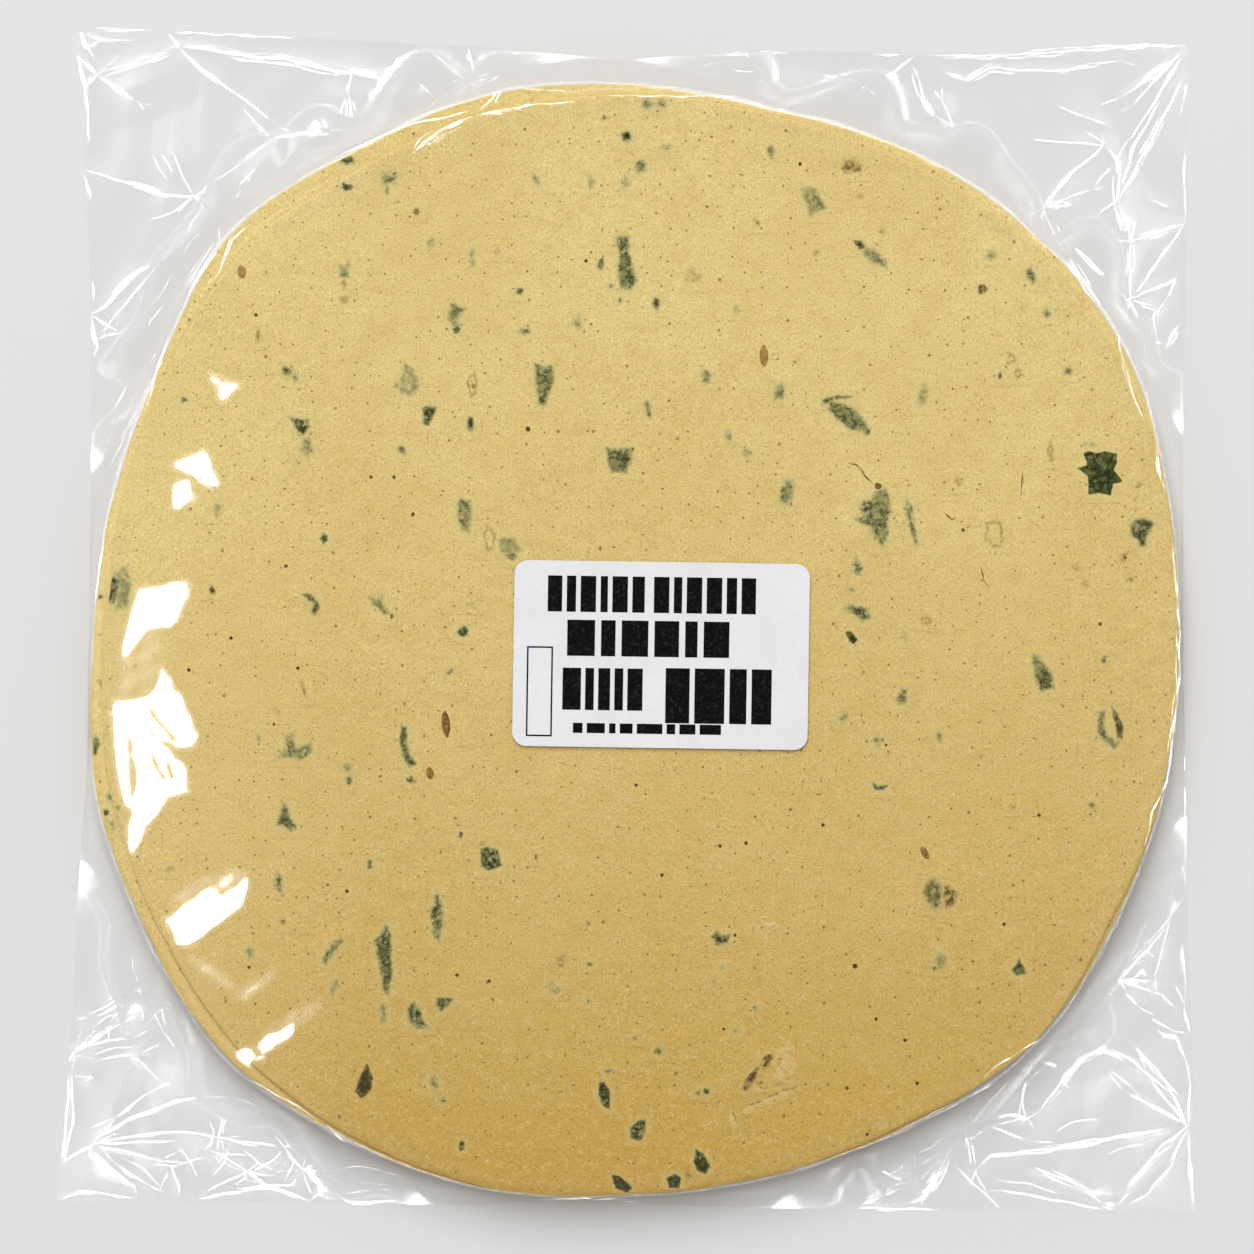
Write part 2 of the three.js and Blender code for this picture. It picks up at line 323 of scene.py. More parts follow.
class Nodes:
    """Builds a material's node tree with few words."""

    def __init__(self, name: str) -> None:
        """Starts an empty material.

        Args:
            name: the material's name.
        """
        self.material = bpy.data.materials.new(name)
        self.material.use_nodes = True
        self.tree = self.material.node_tree
        self.tree.nodes.clear()
        self.output = self.tree.nodes.new("ShaderNodeOutputMaterial")

    def add(self, kind: str, **values: object) -> bpy.types.Node:
        """Adds a node.

        Args:
            kind: the node type's name after ShaderNode.
            values: settings, or sockets by name with spaces as underscores; a socket value links.

        Returns:
            The new node.
        """
        node = self.tree.nodes.new("ShaderNode" + kind)
        for key, value in values.items():
            if hasattr(node, key) and key not in ("color",):
                setattr(node, key, value)
                continue
            self.feed(node.inputs[key.replace("_", " ")], value)
        return node

    def feed(self, socket: Socket, value: object) -> None:
        """Links a socket to another's output, or sets its value.

        Args:
            socket: the socket.
            value: an output or a plain value.
        """
        if isinstance(value, Socket):
            self.tree.links.new(value, socket)
        else:
            socket.default_value = value

    def mix(self, share: object, first: object, second: object, blend: str = "MIX") -> Socket:
        """Mixes two colours.

        Args:
            share: how much of the second.
            first: a colour or a socket.
            second: a colour or a socket.
            blend: Blender's name for the blend.

        Returns:
            The mixed colour's socket.
        """
        node = self.tree.nodes.new("ShaderNodeMix")
        node.data_type = "RGBA"
        node.blend_type = blend
        for index, value in ((0, share), (6, first), (7, second)):
            if isinstance(value, tuple) and len(value) == 3:
                value = (*value, 1.0)
            self.feed(node.inputs[index], value)
        return node.outputs[2]

    def blend(self, share: object, first: object, second: object) -> Socket:
        """Mixes two values.

        Args:
            share: how much of the second.
            first: a value or a socket.
            second: a value or a socket.

        Returns:
            The mixed value's socket.
        """
        node = self.tree.nodes.new("ShaderNodeMix")
        for index, value in ((0, share), (2, first), (3, second)):
            self.feed(node.inputs[index], value)
        return node.outputs[0]

    def span(self, value: object, low: float, high: float, start: float = 0.0, end: float = 1.0,
             soft: bool = True) -> Socket:
        """Maps a range to another and clamps it.

        Args:
            value: the socket to map.
            low: where the range starts.
            high: where it ends.
            start: what the start becomes.
            end: what the end becomes.
            soft: whether the ramp is smooth at both ends.

        Returns:
            The mapped value's socket.
        """
        node = self.tree.nodes.new("ShaderNodeMapRange")
        node.interpolation_type = "SMOOTHSTEP" if soft else "LINEAR"
        for index, number in enumerate((value, low, high, start, end)):
            self.feed(node.inputs[index], number)
        return node.outputs[0]

    def math(self, operation: str, first: object, second: object = 0.0) -> Socket:
        """Works out a sum, product or the like.

        Args:
            operation: Blender's name for it.
            first: a value or a socket.
            second: a value or a socket.

        Returns:
            The result's socket.
        """
        node = self.tree.nodes.new("ShaderNodeMath")
        node.operation = operation
        self.feed(node.inputs[0], first)
        self.feed(node.inputs[1], second)
        return node.outputs[0]

    def millimetres(self) -> Socket:
        """Reads the object's coordinates in millimetres.

        Returns:
            Their socket.
        """
        place = self.add("TexCoord").outputs["Object"]
        node = self.tree.nodes.new("ShaderNodeVectorMath")
        node.operation = "SCALE"
        self.feed(node.inputs[0], place)
        self.feed(node.inputs["Scale"], 1.0 / MM)
        return node.outputs[0]

    def noise(self, place: Socket, size: float, detail: float = 3.0, rough: float = 0.55) -> Socket:
        """Returns a noise of about the given feature size in millimetres."""
        node = self.add("TexNoise", Vector=place, Scale=1.0 / size, Detail=detail, Roughness=rough)
        return node.outputs[0]

    def specks(self, place: Socket, spacing: float, radius: float, share: float) -> Socket:
        """Scatters round specks.

        Args:
            place: coordinates in millimetres.
            spacing: mean distance between specks.
            radius: a speck's radius.
            share: how many of the places hold one, from 0 to 1.

        Returns:
            A mask that is 1 in a speck.
        """
        cells = self.add("TexVoronoi", voronoi_dimensions="2D", Vector=place, Scale=1.0 / spacing)
        split = self.add("SeparateColor")
        self.feed(split.inputs[0], cells.outputs["Color"])
        edge = radius / spacing
        size = self.span(split.outputs[1], 0.0, 1.0, 0.35, 1.0, False)
        spot = self.span(self.math("DIVIDE", cells.outputs["Distance"], size), edge * 0.5, edge, 1.0, 0.0)
        kept = self.span(split.outputs[0], share, share - 0.02, 0.0, 1.0, False)
        return self.times(spot, kept)

    def attribute(self, name: str) -> Socket:
        """Returns the socket of a vertex layer's value."""
        return self.add("Attribute", attribute_name=name).outputs["Fac"]

    def times(self, first: object, second: object) -> Socket:
        """Returns the socket of two values' product."""
        return self.math("MULTIPLY", first, second)

    def contour(self, field: Socket, level: float, outer: float, inner: float, strength: float = 1.0) -> Socket:
        """Draws the line along which a field has one value.

        Args:
            field: the field's socket.
            level: the value.
            outer: how far from the value the line ends.
            inner: how far from it the line is full.
            strength: the mask's value in the line.

        Returns:
            The mask's socket.
        """
        gap = self.math("ABSOLUTE", self.math("SUBTRACT", field, level))
        return self.span(gap, outer, inner, 0.0, strength)

    def height_bump(self, height: Socket, strength: float, distance: float) -> Socket:
        """Returns the normal of a relief; the distance is in metres."""
        return self.add("Bump", Strength=strength, Distance=distance, Height=height).outputs[0]

    def matt(self, colour: Socket, roughness: float, normal: Socket | None = None) -> Material:
        """Ends the material with a surface that has no shine of its own.

        Args:
            colour: its colour.
            roughness: its roughness.
            normal: its relief, if it has one.

        Returns:
            The material.
        """
        shader = self.add("BsdfPrincipled", Roughness=roughness, Base_Color=colour)
        if normal:
            self.feed(shader.inputs["Normal"], normal)
        shader.inputs["Specular IOR Level"].default_value = 0.0
        return self.finish(shader.outputs[0])

    def finish(self, shader: Socket) -> Material:
        """Joins the shader to the output and returns the material."""
        self.tree.links.new(shader, self.output.inputs["Surface"])
        return self.material


class Slot(Enum):
    """The kinds of finish, named after the record's material slots."""

    PAPAD = "papad"
    CHILLI = "chilli"
    SEED = "seed"
    FILM = "film"
    LABEL_PRINT = "label_print"


@dataclass(frozen=True)
class DoughFinish:
    """Dry rolled dough, pale yellow, grainy and finely specked."""

    pale: Colour = (0.80, 0.625, 0.25)
    deep: Colour = (0.70, 0.505, 0.162)
    # A darker tan that paints shade: the dough's lower part and the shadows beside pale fibres.
    tan_tone: Colour = (0.535, 0.315, 0.05)
    brown_speck: Colour = (0.19, 0.095, 0.015)
    olive_speck: Colour = (0.12, 0.09, 0.02)
    rim: Colour = (0.84, 0.72, 0.42)
    sunlit: Colour = (0.87, 0.69, 0.285)

    def colour(self, nodes: Nodes, place: Socket) -> Socket:
        """Builds the dough's colour.

        Args:
            nodes: the material being built.
            place: coordinates in millimetres.

        Returns:
            The colour's socket.
        """
        split = nodes.add("SeparateXYZ", Vector=place)
        # Painted shade: the dough grows darker and browner towards the bottom.
        south = nodes.math("POWER", nodes.span(split.outputs[1], 62.0, -105.0, 0.0, 0.97, False), 1.6)
        # Painted light: the dough grows lighter towards the west.
        west = nodes.span(split.outputs[0], -45.0, -100.0, 0.0, 0.5, False)
        clouds = nodes.noise(place, 26.0, 4.0)
        mottle = nodes.noise(place, 3.6, 4.0, 0.6)
        cloud_share = nodes.span(clouds, 0.34, 0.66)
        mottle_share = nodes.span(mottle, 0.40, 0.70, 0.0, 0.5)
        base = nodes.mix(nodes.times(cloud_share, 0.35), self.pale, self.deep)
        base = nodes.mix(mottle_share, base, self.deep)
        base = nodes.mix(south, base, self.tan_tone)
        base = nodes.mix(west, base, self.sunlit)
        flour = nodes.span(nodes.noise(place, 0.7, 4.0, 0.8), 0.55, 0.70, 0.0, 0.24)
        base = nodes.mix(flour, base, self.rim)
        # Pale fibres, then painted shadows beside them in the darker tan.
        for fibre, tint in zip(self.fibres(nodes, place), (self.rim, self.tan_tone)):
            base = nodes.mix(fibre, base, tint)
        grain = nodes.noise(place, 0.34, 4.0, 0.8)
        grain_shade = nodes.span(grain, 0.28, 0.72, 0.66, 1.25, False)
        shade = nodes.add("CombineColor")
        for index in range(3):
            nodes.feed(shade.inputs[index], grain_shade)
        base = nodes.mix(1.0, base, shade.outputs[0], "MULTIPLY")
        layers = (
            (nodes.specks(place, 1.15, 0.19, 0.5), self.brown_speck, 0.45),
            (nodes.specks(place, 2.5, 0.28, 0.5), self.olive_speck, 0.72),
            (nodes.specks(place, 6.5, 0.38, 0.5), self.brown_speck, 0.75),
        )
        for mask, tint, strength in layers:
            base = nodes.mix(nodes.times(mask, strength), base, tint)
        return base

    def fibres(self, nodes: Nodes, place: Socket) -> list[Socket]:
        """Draws short curled fibres here and there, each with a painted shadow beside it.

        Args:
            nodes: the material being built.
            place: coordinates in millimetres.

        Returns:
            The masks of pale fibres and of the painted shadows beside them.
        """
        curl = nodes.add("TexNoise", Vector=place, Scale=0.9, Detail=1.0, Distortion=2.5).outputs[0]
        patches = nodes.span(nodes.noise(place, 1.6, 2.0), 0.50, 0.60)
        return [
            nodes.times(nodes.contour(curl, level, 0.03, 0.006, strength), patches)
            for level, strength in ((0.5, 0.58), (0.545, 0.46))
        ]

    def bump(self, nodes: Nodes, place: Socket) -> Socket:
        """Raises the dough's grain.

        Args:
            nodes: the material being built.
            place: coordinates in millimetres.

        Returns:
            The normal's socket.
        """
        grain = nodes.noise(place, 0.55, 4.0, 0.65)
        knead = nodes.noise(place, 3.2, 3.0, 0.5)
        height = nodes.math("ADD", grain, nodes.times(knead, 1.6))
        return nodes.height_bump(height, 0.75, 0.00024)

    def material(self) -> Material:
        """Builds the dough's material.

        Returns:
            The material.
        """
        nodes = Nodes("papad_dough")
        place = nodes.millimetres()
        rolled = nodes.attribute("rolled")
        colour = nodes.mix(nodes.times(rolled, 0.6), self.colour(nodes, place), self.rim)
        return nodes.matt(colour, 0.9, self.bump(nodes, place))


# What a fleck's vertices tell its finish.
FLECK_MARKS = ("leaf", "cover", "warmth", "hollow")


@dataclass(frozen=True)
class ChilliFinish:
    """Chopped green chilli skin, dark where it lies bare and misty where dough covers it."""

    dark: Colour = (0.012, 0.016, 0.002)
    green: Colour = (0.060, 0.072, 0.012)
    misty: Colour = (0.345, 0.330, 0.125)
    shine: Colour = (0.52, 0.52, 0.29)
    brown: Colour = (0.058, 0.037, 0.009)
    tan: Colour = (0.54, 0.375, 0.115)
    ring: Colour = (0.30, 0.185, 0.04)
    halo: Colour = (0.60, 0.55, 0.25)
    dough: DoughFinish = DoughFinish()

    def material(self) -> Material:
        """Builds the material, which reads each fleck's own marks.

        Returns:
            The material.
        """
        nodes = Nodes("chilli_in_dough")
        place = nodes.millimetres()
        leaf, cover, warmth, hollow = (
            nodes.attribute(name)
            for name in FLECK_MARKS
        )
        ragged = nodes.math("SUBTRACT", nodes.noise(place, 0.9, 5.0, 0.7), 0.5)
        ragged = nodes.times(ragged, nodes.span(cover, 0.0, 0.8, 0.5, 2.3, False))
        edge = nodes.math("ADD", leaf, ragged)
        mask = self.mask(nodes, place, edge, cover, hollow)
        skin = self.skin(nodes, place, edge, cover, warmth)
        skin = nodes.mix(hollow, skin, self.ring)
        glow = nodes.times(nodes.span(leaf, -1.4, 0.1), nodes.span(warmth, 0.0, 1.0, 0.30, 0.08, False))
        ground = nodes.mix(glow, self.dough.colour(nodes, place), self.halo)
        return nodes.matt(nodes.mix(mask, ground, skin), 0.8, self.dough.bump(nodes, place))

    def mask(self, nodes: Nodes, place: Socket, edge: Socket, cover: Socket, hollow: Socket) -> Socket:
        """Builds the mask that tells skin from dough.

        Args:
            nodes: the material being built.
            place: coordinates in millimetres.
            edge: depth inside the ragged outline.
            cover: how far dough covers the fleck.
            hollow: 1 for a mere ring.

        Returns:
            The mask's socket.
        """
        crisp = nodes.span(edge, -0.06, 0.12)
        soft = nodes.span(edge, -0.45, 0.60)
        body = nodes.blend(nodes.span(cover, 0.0, 0.5, 0.0, 1.0, False), crisp, soft)
        patchy = nodes.span(nodes.noise(place, 1.3, 4.0, 0.6), 0.36, 0.56)
        thin = nodes.span(cover, 0.3, 1.0, 0.0, 0.9, False)
        body = nodes.times(body, nodes.blend(thin, 1.0, patchy))
        torn = nodes.span(nodes.noise(place, 1.1, 3.0, 0.6), 0.34, 0.52, 0.4, 1.0)
        ring = nodes.times(nodes.span(edge, 0.22, 0.50, 1.0, 0.0), torn)
        return nodes.times(body, nodes.blend(hollow, 1.0, ring))

    def skin(self, nodes: Nodes, place: Socket, edge: Socket, cover: Socket, warmth: Socket) -> Socket:
        """Builds the skin's colour, with dark wrinkles and a painted sheen.

        Args:
            nodes: the material being built.
            place: coordinates in millimetres.
            edge: depth inside the ragged outline.
            cover: how far dough covers the fleck.
            warmth: how brown it is.

        Returns:
            The colour's socket.
        """
        tone = nodes.math("SUBTRACT", nodes.noise(place, 1.5, 4.0, 0.62), 0.5)
        veil = nodes.math("ADD", nodes.times(cover, 1.3), nodes.times(tone, 2.4))
        skin = nodes.mix(nodes.span(veil, 0.0, 1.0, 0.0, 1.0, False), self.green, self.misty)
        tan_tone = nodes.math("ADD", cover, nodes.times(tone, 0.7))
        rind = nodes.mix(nodes.span(tan_tone, 0.05, 0.42), self.brown, self.tan)
        skin = nodes.mix(warmth, skin, rind)
        deep = nodes.span(edge, 0.0, 0.45)
        dark = nodes.mix(warmth, self.dark, self.brown)
        core = nodes.span(nodes.noise(place, 1.2, 3.0, 0.6), 0.57, 0.66, 0.0, 0.85)
        core = nodes.times(core, nodes.span(cover, 0.2, 0.95, 1.0, 0.25))
        skin = nodes.mix(nodes.times(core, deep), skin, dark)
        # Painted sheen: pale streaks where the skin would mirror light, tan on browner flecks.
        fold = nodes.span(nodes.noise(place, 0.95, 2.0, 0.5), 0.60, 0.68, 0.0, 0.6)
        fold = nodes.times(fold, nodes.span(cover, 0.0, 0.4, 0.25, 1.0))
        skin = nodes.mix(fold, skin, nodes.mix(warmth, self.shine, self.tan))
        wrinkle = nodes.times(nodes.contour(nodes.noise(place, 1.9, 4.0, 0.62), 0.5, 0.075, 0.015), deep)
        wrinkle = nodes.times(wrinkle, nodes.span(cover, 0.2, 0.95, 0.9, 0.2))
        return nodes.mix(wrinkle, skin, dark)


@dataclass(frozen=True)
class SeedFinish:
    """Dry seeds and husks, orange brown and streaked."""

    light: Colour = (0.47, 0.28, 0.07)
    dark: Colour = (0.065, 0.036, 0.010)

    def material(self) -> Material:
        """Builds the seeds' material.

        Returns:
            The material.
        """
        nodes = Nodes("dry_seed")
        place = nodes.millimetres()
        streaks = nodes.noise(place, 0.55, 4.0, 0.7)
        pale = nodes.attribute("pale")
        share = nodes.math("ADD", pale, nodes.span(streaks, 0.36, 0.64, -0.25, 0.25))
        colour = nodes.mix(nodes.span(share, 0.0, 1.0, 0.0, 1.0, False), self.dark, self.light)
        return nodes.matt(colour, 0.6, nodes.height_bump(streaks, 0.5, 0.0001))


@dataclass(frozen=True)
class FilmFinish:
    """Clear thin film that shines where it tilts towards a light."""

    name: str = "clear_film"
    tint: Colour = (0.95, 0.95, 0.951, 1.0)
    edge_tint: Colour = (0.97, 0.97, 0.972, 1.0)
    stretched: Colour = (0.99, 0.99, 0.99, 1.0)
    roughness: float = 0.155
    gloss: float = 0.03

    def material(self) -> Material:
        """Builds the film's material.

        Returns:
            The material.
        """
        nodes = Nodes(self.name)
        place = nodes.millimetres()
        lean = nodes.add("Attribute", attribute_name="lean").outputs["Vector"]
        facing = nodes.add("NewGeometry").outputs["Normal"]
        tilted = nodes.add("VectorMath", operation="ADD")
        nodes.feed(tilted.inputs[0], facing)
        nodes.feed(tilted.inputs[1], lean)
        unit = nodes.add("VectorMath", operation="NORMALIZE")
        nodes.feed(unit.inputs[0], tilted.outputs[0])
        ripple = nodes.noise(place, 1.6, 3.0, 0.6)
        bump = nodes.add("Bump", Strength=0.35, Distance=0.00006, Height=ripple, Normal=unit.outputs[0])
        side = nodes.add("LayerWeight", Blend=0.5, Normal=bump.outputs[0]).outputs["Facing"]
        dull = nodes.attribute("dull")
        tint = nodes.mix(dull, nodes.mix(side, self.tint, self.edge_tint), self.stretched)
        clear = nodes.add("BsdfTransparent", Color=tint)
        gloss = nodes.add("BsdfAnisotropic", Roughness=self.roughness, Normal=bump.outputs[0])
        gloss.inputs["Color"].default_value = (1.0, 1.0, 1.0, 1.0)
        # Thin film reflects alike from both sides, which a Fresnel node doesn't.
        grazing = nodes.times(nodes.math("POWER", side, 3.0), 1.0 - self.gloss)
        both = nodes.tree.nodes.new("ShaderNodeMixShader")
        shine = nodes.times(nodes.math("ADD", grazing, self.gloss), nodes.math("SUBTRACT", 1.0, dull))
        for index, value in enumerate((shine, clear.outputs[0], gloss.outputs[0])):
            nodes.feed(both.inputs[index], value)
        return nodes.finish(both.outputs[0])


@dataclass(frozen=True)
class PaperFinish:
    """Smooth white sticker paper."""

    white: Colour = (0.80, 0.80, 0.812)
    shade: Colour = (0.75, 0.75, 0.762)

    def material(self) -> Material:
        """Builds the paper's material.

        Returns:
            The material.
        """
        nodes = Nodes("label_paper")
        place = nodes.millimetres()
        fibre = nodes.noise(place, 0.35, 4.0, 0.6)
        cloud = nodes.noise(place, 9.0, 3.0)
        colour = nodes.mix(nodes.span(nodes.math("ADD", fibre, cloud), 0.8, 1.2), self.shade, self.white)
        return nodes.matt(colour, 0.55, nodes.height_bump(fibre, 0.25, 0.00003))


@dataclass(frozen=True)
class InkFinish:
    """Matt black print with a slightly worn face."""

    black: Colour = (0.006, 0.006, 0.007)
    worn: Colour = (0.035, 0.035, 0.038)

    def material(self) -> Material:
        """Builds the ink's material.

        Returns:
            The material.
        """
        nodes = Nodes("label_ink")
        place = nodes.millimetres()
        wear = nodes.noise(place, 0.5, 5.0, 0.7)
        colour = nodes.mix(nodes.span(wear, 0.5, 0.72), self.black, self.worn)
        return nodes.matt(colour, 0.7)


@dataclass(frozen=True)
class FloorFinish:
    """Plain pale floor."""

    shade: Colour = (0.74, 0.74, 0.743, 1.0)

    def material(self) -> Material:
        """Builds the floor's material.

        Returns:
            The material.
        """
        nodes = Nodes("plain_floor")
        shader = nodes.add("BsdfDiffuse")
        shader.inputs["Color"].default_value = self.shade
        return nodes.finish(shader.outputs[0])


def finish_piece(bm: Mesh, name: str, material: Material, slot: Slot) -> Piece:
    """Makes an object of a finished mesh.

    Args:
        bm: the mesh, in millimetres; it is freed.
        name: the piece's name.
        material: its finish.
        slot: the record's slot that the finish belongs to.

    Returns:
        The new object, riding on the part.
    """
    for face in bm.faces:
        face.smooth = True
    bmesh.ops.scale(bm, vec=(MM, MM, MM), verts=bm.verts)
    mesh = bpy.data.meshes.new(name)
    bm.to_mesh(mesh)
    bm.free()
    mesh.materials.append(material)
    piece = bpy.data.objects.new(name, mesh)
    bpy.context.scene.collection.objects.link(piece)
    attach(piece, BODY)
    # Thin clear film takes next to no light from what lies under it.
    piece.visible_shadow = piece.visible_diffuse = slot is not Slot.FILM
    log.info("%s: %d faces", name, len(mesh.polygons))
    return piece


def places(verts: Verts) -> Array:
    """Returns the vertices' coordinates, one row each."""
    return np.array([vert.co for vert in verts], float).reshape(-1, 3)


def put(verts: Verts, *axes: Array) -> None:
    """Moves vertices to their places, given as x, y and z."""
    for vert, place in zip(verts, np.stack(axes, axis=1)):
        vert.co = place


def mark(verts: Verts, layer: object, values: Array) -> None:
    """Writes a number to each vertex, in one of the mesh's vertex layers."""
    for vert, value in zip(verts, values):
        vert[layer] = float(value)


def extruded(bm: Mesh, edges: list[bmesh.types.BMEdge]) -> tuple[list[bmesh.types.BMEdge], Verts]:
    """Extrudes edges.

    Args:
        bm: the mesh.
        edges: its edges to extrude.

    Returns:
        The new edges that lie opposite, and their vertices, still in place.
    """
    made = bmesh.ops.extrude_edge_only(bm, edges=edges)["geom"]
    kinds = (bmesh.types.BMEdge, bmesh.types.BMVert)
    return tuple([item for item in made if isinstance(item, kind)] for kind in kinds)


@dataclass
class Papadum:
    """One thin round of dough."""

    shape: StackShape
    level: int
    cells: int
    material: Material
    own_wave: float = 0.03
    edge_roll: tuple[Pair, ...] = ((0.16, 0.13), (0.2, 0.32), (0.12, 0.52), (-0.1, 0.61))

    def build(self) -> Piece:
        """Models the round.

        Returns:
            The piece.
        """
        bm = bmesh.new()
        bmesh.ops.create_grid(bm, x_segments=self.cells, y_segments=self.cells, size=1.0)
        verts = list(bm.verts)
        square = places(verts)
        u, v = square[:, 0], square[:, 1]
        east, north = u * np.sqrt(1.0 - v * v / 2.0), v * np.sqrt(1.0 - u * u / 2.0)
        angle = np.arctan2(north, east)
        share = np.hypot(east, north)
        radius = share * self.shape.round_reach(self.level, angle)
        x = STACK_CENTRE[0] + radius * np.cos(angle)
        y = STACK_CENTRE[1] + radius * np.sin(angle)
        put(verts, x, y, self.upper(x, y))
        self.close(bm)
        self.mark_rim(bm)
        name = f"papad_{self.level + 1:02d}"
        return finish_piece(bm, name, self.material, Slot.PAPAD)

    def upper(self, x: Array, y: Array) -> Array:
        """Finds this round's upper side.

        Args:
            x: the points' x.
            y: the points' y.

        Returns:
            Its height at each point.
        """
        flat = self.shape.foot + self.shape.thickness + self.level * self.shape.pitch
        own = self.own_wave * Waves(40 + self.level, 60.0).at(x, y)
        below_top = 0.0 if self.level == self.shape.count - 1 else 1.0
        damp = min(1.0, 0.3 + 0.12 * self.level)
        return flat + self.shape.warp(x, y) * damp + own * below_top

    def mark_rim(self, bm: Mesh) -> None:
        """Marks the rolled edge for the finish.

        Args:
            bm: the mesh being built.
        """
        rolled = bm.verts.layers.float.new("rolled")
        verts = list(bm.verts)
        spots = places(verts)
        radius, angle = self.shape.polar(spots[:, 0], spots[:, 1])
        share = np.clip((radius - self.shape.round_reach(self.level, angle)) / 0.15, 0.0, 1.0)
        mark(verts, rolled, share)

    def close(self, bm: Mesh) -> None:
        """Rolls the edge down and closes the underside.

        Args:
            bm: the mesh being built.
        """
        edge = [e for e in bm.edges if e.is_boundary]
        last_out, last_down = 0.0, 0.0
        for out, down in self.edge_roll + ((-7.0, 0.62),):
            edge, verts = extruded(bm, edge)
            for vert in verts:
                away = Vector((vert.co.x - STACK_CENTRE[0], vert.co.y - STACK_CENTRE[1], 0.0)).normalized()
                vert.co += away * (out - last_out)
                vert.co.z -= down - last_down
            last_out, last_down = out, down
        bmesh.ops.contextual_create(bm, geom=edge)
        bmesh.ops.recalc_face_normals(bm, faces=bm.faces)


@dataclass
class PapadumStack:
    """The twelve rounds, the uppermost one finer than the rest."""

    shape: StackShape
    dough: Material
    fine_cells: int = 150
    coarse_cells: int = 64

    def build(self) -> list[Piece]:
        """Builds every round.

        Returns:
            The pieces, from the foot up.
        """
        last = self.shape.count - 1
        return [
            Papadum(self.shape, level, self.fine_cells if level == last else self.coarse_cells, self.dough).build()
            for level in range(self.shape.count)
        ]


@dataclass(frozen=True)
class Fleck:
    """One piece of chilli, by pixels of the photograph."""

    centre: Pair
    size: Pair = (10.0, 10.0)
    turn: float = 0.0
    cover: float = 0.6
    warmth: float = 0.0
    hollow: float = 0.0
    corners: tuple[float, ...] = ()

    def outline(self, seed: int) -> Array:
        """Gives the fleck's outline.

        Args:
            seed: makes the shape of one that has no corners of its own.

        Returns:
            Its corners in millimetres.
        """
        if self.corners:
            return to_mm(self.corners)
        draw = random.Random(seed)
        count = 11
        tilt = math.radians(self.turn)
        ring = []
        for step in range(count):
            angle = math.tau * (step + draw.uniform(-0.3, 0.3)) / count
            swell = draw.uniform(0.62, 1.18)
            along = self.size[0] / 2.0 * math.cos(angle) * swell
            across = self.size[1] / 2.0 * math.sin(angle) * swell
            ring.extend((
                self.centre[0] + along * math.cos(tilt) - across * math.sin(tilt),
                self.centre[1] + along * math.sin(tilt) + across * math.cos(tilt),
            ))
        return to_mm(ring)


